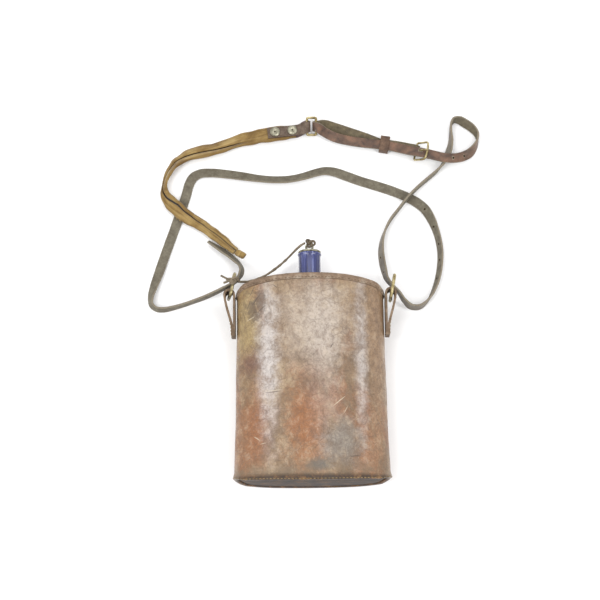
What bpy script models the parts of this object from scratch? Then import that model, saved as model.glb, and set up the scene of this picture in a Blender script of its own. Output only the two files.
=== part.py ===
"""Leather-cased enamel canteen with a stopper on a thong and a buckled sling strap, lying on its back.

Metres, +Z up. The neck points to +Y, and the flat back of the case lies on the plane z = 0 with its
middle at the origin. Sizes below are in millimetres and are turned into metres by MM.
"""
import math

import bmesh
import bpy
from mathutils import Matrix, Vector

MM = 0.001
GAP = 0.3                 # air left between neighbouring pieces

# Case: an oval leather sleeve with an arched top and a flat back
TOP_Y = 100.0             # top edge at the middle
BASE_Y = -100.0           # base edge at the middle
TOP_HALF_WIDTH = 71.5
BASE_HALF_WIDTH = 74.5
SIDE_Z = 28.0             # height of the widest part of the section
FRONT_Z = 58.0            # crown of the front
BACK_DROP = 30.5          # half-depth towards the back, cut off flat at z = 0
OVAL_POWER = 2.5
LEATHER = 3.0
BAND_WIDTH = 5.5
BAND_PROUD = 1.2
TOP_ARCH = 9.0
BASE_ARCH = 2.0
CORNER_START = 62.0       # half-width at which the corners start to round off
TOP_CORNER = 0.045        # millimetres of drop per square millimetre past that
BASE_CORNER = 0.02
RING_POINTS = 64

# Enamelled flask inside the case
STEEL = 1.2
FLASK_INSET = 3.8         # from the case's outside to the flask's outside
TOP_SINK = 5.4            # from the case's top edge down to the flask
BASE_SINK = 4.6
FLASK_EDGE = 6.0          # rounding of the flask's ends
NECK_R = 10.9
NECK_WALL = 1.2
NECK_TOP_Y = 126.0
NECK_Z = 31.0
FLANGE_R = 13.0
HOLE_R = 12.4             # neck hole in the leather top

# Stopper
CORK_TOP_R = 9.3
CORK_LOW_R = 8.2
CORK_LOW_Y = 104.0
DISC_R = 11.3
DISC_THICK = 2.2
STEM_R = 1.1
EYE_R = 3.3
EYE_Y = 133.9

# Side tabs and their D-rings
TAB_LAYER = 2.1
TAB_WIDTH = 15.0
TAB_LOW_Y = 43.0
TAB_FOLD = (78.95, 84.6)  # middle of the fold that the ring hangs in
TAB_FOLD_R = 5.85
RING_WIRE_R = 1.6
RIGHT_BAR = (78.8, 80.4)
LEFT_BAR = (-78.9, 83.6)
RING_HALF = 9.6           # half the D's width, from wire centre to wire centre
RING_REACH = 23.8
RING_Z = 31.0
RIGHT_LEAN = 11.0         # degrees away from the case
LEFT_LEAN = 12.0          # degrees towards the neck
LEFT_BAR_TILT = 9.0       # the left ring hangs a little twisted in its tab

# Sling strap, webbing, thong
NARROW = 9.8              # sling strap at its buckle end and over the top
WIDE = 11.6               # sling strap down the left side
STRAP_THICK = 2.2
WEB_WIDTH = 14.6
WEB_THICK = 3.4
PATCH_WIDTH = 11.4
PATCH_THICK = 1.9
THONG_R = 1.3
HEEL_R = 1.1              # buckle wire
TONGUE_R = 0.8
TONGUE_RISE = 2.4         # tongue's height above the buckle's own plane
BUCKLE_HEEL = (110.5, 242.8, 4.2)
BUCKLE_TURN = -13.0       # degrees the buckle is turned from the +X direction
BUCKLE_TIP = 41.0         # degrees its front bar is tipped up
SQUARE_WIRE_R = 1.3
SQUARE_LEAN = 36.0        # degrees the square ring stands up from the table
SQUARE_BAR = (0.0, math.cos(math.radians(SQUARE_LEAN)), math.sin(math.radians(SQUARE_LEAN)))
SHOULDER_RIVETS = ((-33.4, 264.0), (-15.6, 265.7))

COLOURS = {
    "case": ((0.30, 0.17, 0.09), 0.45, 0.0),
    "strap": ((0.22, 0.17, 0.12), 0.6, 0.0),
    "dark": ((0.12, 0.07, 0.05), 0.55, 0.0),
    "webbing": ((0.42, 0.30, 0.14), 0.9, 0.0),
    "enamel": ((0.06, 0.08, 0.22), 0.25, 0.0),
    "brass": ((0.36, 0.29, 0.15), 0.35, 1.0),
    "cork": ((0.42, 0.28, 0.17), 0.85, 0.0),
    "zinc": ((0.35, 0.33, 0.28), 0.45, 1.0),
}

# Free straps, as rows of (x, y, lift of the lowest edge, lean in degrees). A lean of 0 lies flat,
# 90 stands on edge with the strap's left side up, and 180 lies flat with the flesh side up.
TAIL_ROWS = [(88, 249.8, 0.3, 0), (96, 247.9, 0.3, 0), (104, 246.0, 0.3, 0), (110.4, 244.4, 0.3, 0)]
RETURN_ROWS = [(110.4, 244.4, 5.7, 0), (104, 246.0, 5.2, 0), (96, 248.2, 4.2, 0), (89, 250.0, 3.2, 0),
               (83.5, 251.0, 2.5, 0), (78.5, 251.8, 2.4, 0), (73, 253.2, 2.4, 0), (65, 256.4, 2.0, 8),
               (54, 260.8, 1.2, 20), (41, 265.8, 0.6, 24), (28, 270.4, 0.9, 24), (17, 273.2, 2.0, 30),
               (8.8, 271.4, 3.8, 36)]
OUTWARD_ROWS = [(8.8, 268.0, 8.3, 36), (17, 263.4, 6.4, 30), (27, 258.6, 5.2, 18), (40, 255.2, 5.0, 6),
                (54, 252.6, 5.2, 2), (64, 251.2, 5.4, 0), (73, 250.2, 5.3, 0), (78.5, 249.4, 5.3, 0),
                (83.5, 248.4, 5.4, 0), (93, 245.6, 6.7, 0), (104, 242.2, 8.5, 0), (112, 240.4, 9.2, 0),
                (122, 238.0, 9.6, 0), (131, 235.2, 10.2, 0), (141, 232.8, 10.6, 0), (151, 233.4, 8.4, 4),
                (159, 236.2, 4.6, 18), (166, 240.6, 1.6, 42), (171, 246.8, 0.5, 66), (174, 254, 0.3, 86),
                (173.4, 261, 0.3, 104), (169, 267.4, 0.3, 122), (162, 273, 0.3, 130), (155.6, 276.6, 0.3, 118),
                (151, 276.6, 0.3, 102), (148, 272.6, 0.3, 94), (147, 264, 0.3, 88), (146.6, 253, 0.3, 72),
                (144, 242, 0.3, 60), (139, 230.6, 0.3, 72), (131, 221, 0.3, 88), (122, 213, 0.6, 90),
                (111, 203, 2.2, 90), (103, 194.6, 3.4, 90), (97, 187.6, 3.4, 90), (91, 180, 2.4, 90),
                (83, 170, 0.8, 90), (77, 159, 0.4, 86), (73.2, 147, 0.8, 76), (72, 136, 3.0, 66),
                (72.6, 124, 7.5, 64), (74.2, 112, 14.0, 70), (76.6, 101, 21.5, 82), (80.8, 93.8, 25.6, 90),
                (87.0, 88, 22.0, 90), (93.4, 81, 14.6, 86), (101, 76.8, 6.8, 80), (109.6, 78, 2.2, 80),
                (116.6, 83.6, 0.5, 90), (122.6, 93, 0.3, 104), (128, 107, 0.3, 112), (131, 122, 0.3, 113),
                (131.8, 135, 0.3, 113), (130.4, 147.6, 0.3, 114), (127.4, 160, 0.3, 120), (123.4, 171, 0.3, 136),
                (118, 181, 0.3, 158), (109.6, 189, 0.3, 175), (98, 195.8, 0.3, 180), (85, 201.6, 0.3, 180),
                (71, 206.6, 0.3, 180), (53, 212.6, 0.3, 180), (38, 218.4, 0.3, 182), (26, 222.6, 0.3, 192),
                (17, 223.4, 0.3, 202), (6, 221, 0.3, 208), (-5, 217.6, 0.3, 212), (-19, 214.8, 0.3, 214),
                (-34, 214.4, 0.3, 214), (-51, 216, 0.3, 212), (-67, 218.8, 0.3, 202), (-85, 221.6, 0.3, 196),
                (-100, 223, 0.3, 194), (-110, 222.4, 0.3, 190), (-117, 218.8, 0.3, 184), (-121, 212, 0.3, 181),
                (-124, 201, 0.3, 180), (-128.4, 186, 0.3, 180), (-133.6, 170, 0.3, 180), (-138.8, 154.6, 0.3, 181),
                (-145, 136, 0.3, 186), (-151, 117, 0.3, 198), (-156, 102, 0.3, 218), (-158.6, 91, 0.3, 238),
                (-158, 84, 0.3, 250), (-153.2, 79.4, 0.3, 258), (-146, 78.4, 0.3, 262), (-137, 80, 0.3, 266),
                (-127, 82.6, 1.0, 269), (-115, 85.6, 4.5, 270), (-103.4, 87.8, 12.0, 270), (-93, 90.4, 19.0, 270),
                (-85, 93.2, 22.8, 270), (-78, 96.4, 23.7, 270), (-72.6, 101.4, 22.6, 270),
                (-69.2, 108.6, 17.0, 266), (-68.2, 115.8, 9.6, 258), (-69.8, 122.2, 4.0, 250),
                (-74.4, 128.4, 1.0, 244), (-81.4, 134.7, 0.3, 241), (-91, 141.6, 0.3, 239),
                (-101.6, 148.8, 0.3, 238)]
WIDENS = (90, 95)         # rows of the outward strand between which the strap widens
WEBBING_ROWS = [(-12.6, 265.9, 4.0, 0), (-20, 265.2, 4.0, 0), (-30, 264.2, 4.0, 0), (-42.6, 262.8, 4.0, 0),
                (-55, 261.0, 2.2, 0), (-67, 258.4, 0.7, 5), (-80, 253.6, 0.4, 14), (-93, 249, 0.4, 20),
                (-106, 245.8, 0.4, 22), (-119, 242, 0.4, 24), (-129, 237.4, 0.4, 30), (-136.4, 231, 0.4, 42),
                (-141.6, 223, 0.5, 50), (-145, 214, 0.7, 50), (-146.6, 205, 1.4, 40), (-144.8, 197, 2.4, 26),
                (-139, 189.6, 3.2, 12), (-130, 181.6, 3.4, 4), (-118.6, 172.6, 3.3, 0), (-105, 163.0, 3.4, 0),
                (-91.6, 153.0, 3.9, 0), (-81.4, 144.2, 5.0, 0), (-75.0, 138.6, 6.4, 0)]
WEBBING_TAPER = (13.4, 12.0, 11.0, 10.6, 10.6)
PATCH_LOW_ROWS = [(-41, 263.0, 1.5, 0), (-30, 264.2, 1.5, 0), (-18, 265.4, 1.5, 0), (-11.5, 266.2, 1.5, 1),
                  (-6, 268.6, 2.2, 14), (-0.6, 271.2, 3.4, 36)]
PATCH_TOP_ROWS = [(-0.6, 268.0, 7.7, 36), (-6, 266.8, 7.6, 14), (-11.5, 266.0, 7.8, 1), (-18, 265.4, 7.8, 0),
                  (-30, 264.2, 7.8, 0), (-41, 263.0, 7.8, 0)]
THONG_POINTS = [(-4.8, 135.8, 38.0), (-8.6, 132.4, 41.4), (-13.6, 127.6, 42.2), (-19.6, 122.0, 39.6),
                (-27, 116.0, 36.0), (-35, 110.4, 33.2), (-43, 105.4, 31.8), (-51, 101.6, 31.8),
                (-57.6, 99.2, 33.0), (-63, 98.0, 35.0), (-67.4, 97.4, 37.4)]
RING_KNOT = (-74.7, 96.3, 40.5)

collections = {}


def start_scene():
    """Remove every object and make the collections for the parts and for the cutters."""
    for old in list(bpy.data.objects):
        bpy.data.objects.remove(old, do_unlink=True)
    for name in ("canteen", "cutters"):
        collections[name] = bpy.data.collections.new(name)
        bpy.context.scene.collection.children.link(collections[name])


def material(key):
    """The plain material of one kind of stuff, made once."""
    made = bpy.data.materials.get(key)
    if made:
        return made
    colour, roughness, metallic = COLOURS[key]
    made = bpy.data.materials.new(key)
    made.use_nodes = True
    shader = made.node_tree.nodes["Principled BSDF"]
    shader.inputs["Base Color"].default_value = (*colour, 1.0)
    shader.inputs["Roughness"].default_value = roughness
    shader.inputs["Metallic"].default_value = metallic
    return made


# ---------------------------------------------------------------- shared shapes

def add_object(name, data, look, home="canteen"):
    """Link a piece whose mesh or curve is in millimetres, with its material, at its size in metres."""
    data.transform(Matrix.Scale(MM, 4))
    if look:
        data.materials.clear()
        data.materials.append(material(look))
    piece = bpy.data.objects.new(name, data)
    collections[home].objects.link(piece)
    return piece


def smooth(mesh, degrees=40.0):
    """Shade a mesh smooth, but for its sharp edges."""
    mesh.shade_smooth()
    mesh.set_sharp_from_angle(angle=math.radians(degrees))


def finished_mesh(name, bm):
    """Close a bmesh into a mesh with its faces pointing out."""
    bmesh.ops.recalc_face_normals(bm, faces=bm.faces)
    mesh = bpy.data.meshes.new(name)
    bm.to_mesh(mesh)
    bm.free()
    smooth(mesh)
    return mesh


def evaluated_mesh(piece):
    """The plain mesh of a curve or of a piece with modifiers, with its seams welded."""
    graph = bpy.context.evaluated_depsgraph_get()
    mesh = bpy.data.meshes.new_from_object(piece.evaluated_get(graph))
    bm = bmesh.new()
    bm.from_mesh(mesh)
    bmesh.ops.remove_doubles(bm, verts=bm.verts, dist=0.0001)
    bmesh.ops.recalc_face_normals(bm, faces=bm.faces)
    bm.to_mesh(mesh)
    bm.free()
    smooth(mesh)
    return mesh


def meshed(name, data, look, home="canteen", place=Matrix.Identity(4)):
    """Make a curve in millimetres a mesh piece, moved to its place."""
    draft = bpy.data.objects.new(name + "_draft", data)
    collections[home].objects.link(draft)
    mesh = evaluated_mesh(draft)
    bpy.data.objects.remove(draft, do_unlink=True)
    mesh.transform(place)
    return add_object(name, mesh, look, home)


def loft(name, rings, look, cap_first=False, cap_last=False):
    """Skin a row of closed rings that have the same number of points."""
    bm = bmesh.new()
    rows = [[bm.verts.new(point) for point in ring] for ring in rings]
    count = len(rows[0])
    for low, high in zip(rows, rows[1:]):
        for i in range(count):
            j = (i + 1) % count
            bm.faces.new((low[i], low[j], high[j], high[i]))
    if cap_first:
        bm.faces.new(rows[0])
    if cap_last:
        bm.faces.new(rows[-1])
    return add_object(name, finished_mesh(name, bm), look)


def solidify(piece, thickness):
    """Grow an open surface inwards into a wall."""
    wall = piece.modifiers.new("wall", "SOLIDIFY")
    wall.thickness = thickness * MM
    wall.offset = -1.0
    wall.use_even_offset = True


def cut(piece, cutter):
    """Subtract a cutter, which stays in its own collection and out of the build."""
    hole = piece.modifiers.new("cut_" + cutter.name, "BOOLEAN")
    hole.operation = "DIFFERENCE"
    hole.solver = "EXACT"
    hole.object = cutter


def round_cutter(name, start, end, radius, sides=24):
    """A round cutter between two points."""
    start, end = Vector(start), Vector(end)
    bm = bmesh.new()
    bmesh.ops.create_cone(bm, cap_ends=True, segments=sides, radius1=radius, radius2=radius,
                          depth=(end - start).length)
    swing = Vector((0, 0, 1)).rotation_difference(end - start).to_matrix().to_4x4()
    bm.transform(Matrix.Translation((start + end) / 2) @ swing)
    cutter = add_object(name, finished_mesh(name, bm), None, "cutters")
    cutter.hide_render = True
    cutter.display_type = "WIRE"
    return cutter


def box_cutter(name, sides, centre):
    """A box cutter of the three side lengths, turned with the buckle."""
    bm = bmesh.new()
    bmesh.ops.create_cube(bm, size=1.0)
    bm.transform(Matrix.Translation(centre) @ Matrix.Rotation(math.radians(BUCKLE_TURN), 4, "Z")
                 @ Matrix.Diagonal((*sides, 1.0)))
    cutter = add_object(name, finished_mesh(name, bm), None, "cutters")
    cutter.hide_render = True
    cutter.display_type = "WIRE"
    return cutter


def turned(name, profile, look, place, steps=40):
    """A piece turned about its own Z axis from (radius, height) points that run down its outer side."""
    bm = bmesh.new()
    verts = [bm.verts.new((radius, 0, height)) for radius, height in profile]
    for a, b in zip(verts, verts[1:] + verts[:1]):
        bm.edges.new((a, b))
    outline = bpy.data.meshes.new(name + "_outline")
    bm.to_mesh(outline)
    bm.free()
    draft = bpy.data.objects.new(name + "_draft", outline)
    collections["canteen"].objects.link(draft)
    screw = draft.modifiers.new("turn", "SCREW")
    screw.steps = screw.render_steps = steps
    screw.use_merge_vertices = True
    screw.merge_threshold = 0.0001
    mesh = evaluated_mesh(draft)
    bpy.data.objects.remove(draft, do_unlink=True)
    mesh.transform(place)
    return add_object(name, mesh, look)


def about_neck():
    """Stands a turned piece's Z axis along the neck, so that its heights are Y values."""
    return Matrix.Translation((0, 0, NECK_Z)) @ Matrix.Rotation(-math.pi / 2, 4, "X")


def wire(name, points, radius, look, cyclic=False, place=Matrix.Identity(4)):
    """A round wire or cord through points."""
    curve = bpy.data.curves.new(name, "CURVE")
    curve.dimensions = "3D"
    curve.bevel_depth = radius
    curve.bevel_resolution = 2
    curve.use_fill_caps = not cyclic
    spline = curve.splines.new("POLY")
    spline.points.add(len(points) - 1)
    for knot, spot in zip(spline.points, points):
        knot.co = (*spot, 1.0)
    spline.use_cyclic_u = cyclic
    return meshed(name, curve, look, place=place)


def flat_outline(name, outlines, thickness, look, place=Matrix.Identity(4)):
    """A flat shape from one outline and its holes, in the XY plane, as thick as said along Z."""
    curve = bpy.data.curves.new(name, "CURVE")
    curve.dimensions = "2D"
    curve.fill_mode = "BOTH"
    curve.extrude = thickness / 2
    for outline in outlines:
        spline = curve.splines.new("POLY")
        spline.points.add(len(outline) - 1)
        for knot, (x, y) in zip(spline.points, outline):
            knot.co = (x, y, 0.0, 1.0)
        spline.use_cyclic_u = True
    return meshed(name, curve, look, place=place)


def arc(centre, radius, start, end, count):
    """Points of an arc in a plane, with angles in degrees."""
    angles = [math.radians(start + (end - start) * k / count) for k in range(count + 1)]
    return [(centre[0] + radius * math.cos(a), centre[1] + radius * math.sin(a)) for a in angles]


def smooth_through(rows, per_span):
    """Points of a smooth curve through rows of numbers that start with x, y, z, per_span to each span.
    The slopes are weighted by the spans' lengths, so short spans beside long ones don't bulge."""
    rows = [Vector(row) for row in rows]
    spans = [(Vector(b[:3]) - Vector(a[:3])).length for a, b in zip(rows, rows[1:])]
    slopes = [(b - a) / length for a, b, length in zip(rows, rows[1:], spans)]
    inner = [(s0 * l1 + s1 * l0) / (l0 + l1)
             for s0, s1, l0, l1 in zip(slopes, slopes[1:], spans, spans[1:])]
    tangents = slopes[:1] + inner + slopes[-1:]
    out = []
    for i, length in enumerate(spans):
        rise = rows[i + 1] - rows[i]
        for k in range(per_span):
            t = k / per_span
            bend = (t * (1 - t) ** 2) * tangents[i] - (t * t * (1 - t)) * tangents[i + 1]
            out.append(rows[i] + t * t * (3 - 2 * t) * rise + length * bend)
    return out + [rows[-1]]


# ---------------------------------------------------------------- straps

def strand(rows, widths, thick, side=1):
    """Turn route rows into (x, y, z, across x, y, z, width), each row's lowest edge at its lift."""
    spots = [Vector((row[0], row[1], 0)) for row in rows]
    sections = []
    for i, (x, y, lift, lean) in enumerate(rows):
        along = spots[min(i + 1, len(spots) - 1)] - spots[max(i - 1, 0)]
        left = Vector((-along.y, along.x, 0)).normalized() * side
        angle = math.radians(lean)
        across = left * math.cos(angle) + Vector((0, 0, math.sin(angle)))
        height = lift + widths[i] / 2 * abs(math.sin(angle)) + thick / 2 * abs(math.cos(angle))
        sections.append((x, y, height, *across, widths[i]))
    return sections


def turned_back(before, after, bar, towards_x):
    """Two strands that face each other, joined by the half circle in which the strap goes round a bar."""
    last, first = before[-1], after[0]
    middle = (Vector(last[:3]) + Vector(first[:3])) / 2
    across = Vector(bar).normalized()
    arm = Vector(last[:3]) - middle
    shift = across * arm.dot(across)
    arm -= shift
    out = across.cross(arm)
    out *= math.copysign(1.0, out.x * towards_x)
    turn = []
    for degrees in (0, 36, 72, 108, 144, 180):
        angle = math.radians(degrees)
        spot = middle + arm * math.cos(angle) + out * math.sin(angle) + shift * (1 - degrees / 90)
        turn.append((*spot, *across, last[6]))
    return before[:-1] + turn + after[1:]


def ribbon(name, sections, thick, look, per_span=2):
    """A flat strap through its sections. It twists and doubles back, where the section of a
    bevelled curve would flip over, so it is a loft of rectangles."""
    rows = smooth_through(sections, per_span)
    spots = [Vector(row[:3]) for row in rows]
    rings = []
    for i, row in enumerate(rows):
        along = (spots[min(i + 1, len(spots) - 1)] - spots[max(i - 1, 0)]).normalized()
        across = Vector(row[3:6])
        across = (across - along * across.dot(along)).normalized() * (row[6] / 2)
        up = along.cross(across).normalized() * (thick / 2)
        rings.append([spots[i] + across + up, spots[i] - across + up,
                      spots[i] - across - up, spots[i] + across - up])
    return loft(name, rings, look, cap_first=True, cap_last=True)


def sling_strap():
    """The long strap: sewn to the buckle, round the square ring, back through keeper and buckle,
    then free through both D-rings to its end under the webbing."""
    first, last = WIDENS
    widths = [NARROW + (WIDE - NARROW) * min(1.0, max(0.0, (i - first) / (last - first)))
              for i in range(len(OUTWARD_ROWS))]
    tail = strand(TAIL_ROWS, [NARROW] * len(TAIL_ROWS), STRAP_THICK)
    back = strand(RETURN_ROWS, [NARROW] * len(RETURN_ROWS), STRAP_THICK, side=-1)
    outward = strand(OUTWARD_ROWS, widths, STRAP_THICK)
    heel = buckle_stand().to_3x3() @ Vector((0, 1, 0))
    sections = turned_back(turned_back(tail, back, heel, 1), outward, SQUARE_BAR, -1)
    strap = ribbon("sling_strap", sections, STRAP_THICK, "strap")
    hole_ends = [buckle_stand() @ Vector((x, 0, TONGUE_RISE)) for x in (3.4, 11.5)]
    cut(strap, round_cutter("tongue_hole", *hole_ends, 1.25, 12))
    slot = box_cutter("tongue_slot", (8.4, 2.5, 9.4), buckle_stand().translation + Vector((0.2, 0, -0.7)))
    cut(strap, slot)
    return strap


def webbing():
    """The folded canvas shoulder strip, its end rolled up beside the strap's end."""
    widths = [WEB_WIDTH] * (len(WEBBING_ROWS) - len(WEBBING_TAPER)) + list(WEBBING_TAPER)
    strip = ribbon("webbing_strap", strand(WEBBING_ROWS, widths, WEB_THICK), WEB_THICK, "webbing")
    outer, inner = arc((0, 0), 4.4, 0, 345, 23), arc((0, 0), 1.5, 0, 345, 23)
    along = Vector((0.86, -0.5, 0.0))
    facing = Vector((0, 0, 1)).rotation_difference(along).to_matrix().to_4x4()
    place = Matrix.Translation((-68.6, 133.2, 12.8)) @ facing
    flat_outline("webbing_roll", (outer, inner), 10.0, "webbing", place)
    return strip


def rivet_patch():
    """The leather strip folded round the square ring, over and under the webbing's end."""
    low = strand(PATCH_LOW_ROWS, [PATCH_WIDTH] * len(PATCH_LOW_ROWS), PATCH_THICK)
    top = strand(PATCH_TOP_ROWS, [PATCH_WIDTH] * len(PATCH_TOP_ROWS), PATCH_THICK, side=-1)
    return ribbon("rivet_tab", turned_back(low, top, SQUARE_BAR, 1), PATCH_THICK, "dark")


def shoulder_rivets(strip, patch):
    """Two tubular rivets with domed heads through the patch and the webbing."""
    profile = [(0.6, 12.6), (2.4, 12.4), (4.2, 11.8), (5.1, 10.9), (5.1, 10.7), (1.5, 10.7), (1.5, 1.3),
               (4.0, 1.3), (4.0, 0.3), (0.6, 0.3)]
    for number, (x, y) in enumerate(SHOULDER_RIVETS, start=1):
        turned(f"shoulder_rivet_{number}", profile, "zinc", Matrix.Translation((x, y, 0)), 24)
        hole = round_cutter(f"rivet_hole_{number}", (x, y, -2), (x, y, 16), 1.9, 16)
        cut(strip, hole)
        cut(patch, hole)


# ---------------------------------------------------------------- case

def oval(half_width, grow):
    """(x, z) points of the case's section, grown outwards or, below 0, inwards. The back is flat."""
    points = []
    for k in range(RING_POINTS):
        turn = 2 * math.pi * k / RING_POINTS
        c, s = math.cos(turn), math.sin(turn)
        rise = (FRONT_Z - SIDE_Z if s > 0 else BACK_DROP) + grow
        x = (half_width + grow) * math.copysign(abs(c) ** (2 / OVAL_POWER), c)
        z = SIDE_Z + rise * math.copysign(abs(s) ** (2 / OVAL_POWER), s)
        points.append((x, max(z, -min(grow, 0.0))))
    return points


def half_width_at(y):
    return TOP_HALF_WIDTH + (BASE_HALF_WIDTH - TOP_HALF_WIDTH) * (TOP_Y - y) / (TOP_Y - BASE_Y)


def corner(x):
    return max(0.0, abs(x) - CORNER_START) ** 2


def top_edge(x):
    """The arched top edge of the case."""
    return TOP_Y - TOP_ARCH * abs(x / TOP_HALF_WIDTH) ** 2.4 - TOP_CORNER * corner(x)


def base_edge(x):
    """The nearly straight bottom edge of the case."""
    return BASE_Y + BASE_ARCH * (x / BASE_HALF_WIDTH) ** 2 + BASE_CORNER * corner(x)


def section_ring(edge, shift, grow):
    """A ring of the case's section that follows one of its edges, shifted along the neck's axis."""
    half_width = half_width_at(edge(0) + shift)
    arched = [edge(x) + shift for x, z in oval(half_width, 0.0)]
    return [(x, y, z) for y, (x, z) in zip(arched, oval(half_width, grow))]


def sleeve(name, low, high, grow, look):
    """An oval leather sleeve between two (edge, shift) ends."""
    piece = loft(name, [section_ring(*low, grow), section_ring(*high, grow)], look)
    solidify(piece, LEATHER + grow)


def end_plate(name, edge, shift, look):
    """The leather end of the case inside its band, arched like the edge, thick towards the inside."""
    ring = section_ring(edge, shift, -LEATHER - BAND_PROUD - GAP)
    bm = bmesh.new()
    verts = [bm.verts.new(point) for point in ring]
    count = len(verts)
    for i in range(count // 2):
        quad = [verts[i], verts[i + 1], verts[count - i - 1], verts[-i]]
        bm.faces.new(list(dict.fromkeys(quad)))
    inward = 1 if edge is base_edge else -1
    slab = bmesh.ops.extrude_face_region(bm, geom=bm.faces[:])
    moved = [v for v in slab["geom"] if isinstance(v, bmesh.types.BMVert)]
    bmesh.ops.translate(bm, verts=moved, vec=(0, inward * LEATHER, 0))
    return add_object(name, finished_mesh(name, bm), look)


def case():
    """Leather wall, the bands that bind its two ends, and the two end plates."""
    sleeve("case_wall", (base_edge, BAND_WIDTH + GAP), (top_edge, -BAND_WIDTH - GAP), 0.0, "case")
    sleeve("top_band", (top_edge, -BAND_WIDTH), (top_edge, 0.4), BAND_PROUD, "case")
    sleeve("base_welt", (base_edge, -0.4), (base_edge, BAND_WIDTH), BAND_PROUD, "dark")
    end_plate("case_base", base_edge, 0.6, "dark")
    top = end_plate("case_top", top_edge, -0.8, "case")
    cut(top, round_cutter("neck_hole", (0, 80, NECK_Z), (0, 120, NECK_Z), HOLE_R, 40))


# ---------------------------------------------------------------- flask and stopper

def neck_circle(radius, y):
    """A circle about the neck's axis, its points in step with the case's section."""
    turns = [2 * math.pi * k / RING_POINTS for k in range(RING_POINTS)]
    return [(radius * math.cos(a), y, NECK_Z + radius * math.sin(a)) for a in turns]


def flask():
    """Enamelled steel flask: a pressed shell with a turned neck that has a rolled lip."""
    ends = ((base_edge, 1, BASE_SINK), (top_edge, -1, TOP_SINK))
    rounding = ((9.0, 0.0), (4.5, 0.3), (1.4, 2.0), (0.0, FLASK_EDGE))
    rings = []
    for edge, sign, sink in ends:
        end_rings = [section_ring(edge, sign * (sink + rise), -FLASK_INSET - inset)
                     for inset, rise in rounding]
        rings += end_rings if sign > 0 else end_rings[::-1]
    shoulder_y = TOP_Y - TOP_SINK
    rings += [neck_circle(11.6, shoulder_y), neck_circle(NECK_R - NECK_WALL, shoulder_y)]
    shell = loft("flask_shell", rings, "enamel", cap_first=True)
    solidify(shell, STEEL)
    bore = NECK_R - NECK_WALL
    profile = [(bore + 0.3, NECK_TOP_Y + 0.6), (NECK_R, NECK_TOP_Y + 0.8), (NECK_R + 0.7, NECK_TOP_Y + 0.2),
               (NECK_R + 0.8, NECK_TOP_Y - 0.8), (NECK_R + 0.3, NECK_TOP_Y - 1.7), (NECK_R, NECK_TOP_Y - 2.6),
               (NECK_R, shoulder_y + 1.1), (FLANGE_R, shoulder_y + 1.0), (FLANGE_R, shoulder_y + GAP),
               (bore, shoulder_y + GAP), (bore, NECK_TOP_Y - 0.4)]
    turned("flask_neck", profile, "enamel", about_neck())


def stopper():
    """Cork on a wire stem: a cap disc above, a washer and a nut below, and the eye for the thong."""
    bored = STEM_R + GAP
    disc_y = NECK_TOP_Y + 1.1
    cork = [(CORK_TOP_R, disc_y - GAP), (CORK_LOW_R, CORK_LOW_Y + 0.6), (CORK_LOW_R - 0.6, CORK_LOW_Y),
            (bored, CORK_LOW_Y), (bored, disc_y - GAP)]
    turned("stopper_cork", cork, "cork", about_neck())
    disc = [(DISC_R - 0.6, disc_y + DISC_THICK), (DISC_R, disc_y + DISC_THICK - 0.6), (DISC_R, disc_y + 0.4),
            (DISC_R - 0.4, disc_y), (bored, disc_y), (bored, disc_y + DISC_THICK)]
    turned("stopper_disc", disc, "zinc", about_neck())
    washer_y = CORK_LOW_Y - GAP
    washer = [(6.5, washer_y), (6.5, washer_y - 1.0), (bored, washer_y - 1.0), (bored, washer_y)]
    turned("stopper_washer", washer, "zinc", about_neck(), 24)
    nut_y = washer_y - 1.0 - GAP
    nut = [(3.4, nut_y), (3.4, nut_y - 2.0), (bored + GAP, nut_y - 2.0), (bored + GAP, nut_y)]
    turned("stopper_nut", nut, "zinc", about_neck(), 6)
    loop = arc((0, EYE_Y), EYE_R, -90, 240, 18)
    wire("stopper_stem", [(0, nut_y - 3.0, NECK_Z)] + [(x, y, NECK_Z) for x, y in loop], STEM_R, "zinc")


def thong():
    """The stopper's leather thong: a loop through the eye, the free length, and a loop round the ring."""
    loops = (("thong_knot_top", (0, EYE_Y + 3.7, NECK_Z), 3.7, "Y"), ("thong_knot_ring", RING_KNOT, 3.5, "X"))
    for name, centre, radius, axis in loops:
        loop = [(x, y, 0) for x, y in arc((0, 0), radius, 0, 345, 23)]
        place = Matrix.Translation(centre) @ Matrix.Rotation(math.pi / 2, 4, axis)
        wire(name, loop, THONG_R, "strap", cyclic=True, place=place)
    wire("stopper_thong", smooth_through(THONG_POINTS, 2), THONG_R, "strap")


# ---------------------------------------------------------------- rings, tabs and buckle

def d_ring(name, bar, lean, bar_tilt):
    """A D-ring whose bar runs along local Y, in the plane that leans away from the neck's axis."""
    shoulder = RING_REACH - RING_HALF
    half = [(0.8, -RING_HALF), (shoulder, -RING_HALF)]
    outline = half + arc((shoulder, 0), RING_HALF, -90, 90, 12)[1:-1]
    outline += [(x, -y) for x, y in reversed(half)]
    outline += [(0, RING_HALF - 0.8), (0, 0.8 - RING_HALF)]
    points = [(0, y, x) for x, y in outline]
    stand = (Matrix.Translation((*bar, RING_Z)) @ Matrix.Rotation(math.radians(-lean), 4, "Z")
             @ Matrix.Rotation(math.radians(bar_tilt), 4, "Y") @ Matrix.Rotation(-math.pi / 2, 4, "X"))
    return wire(name, points, RING_WIRE_R, "brass", cyclic=True, place=stand)


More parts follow.
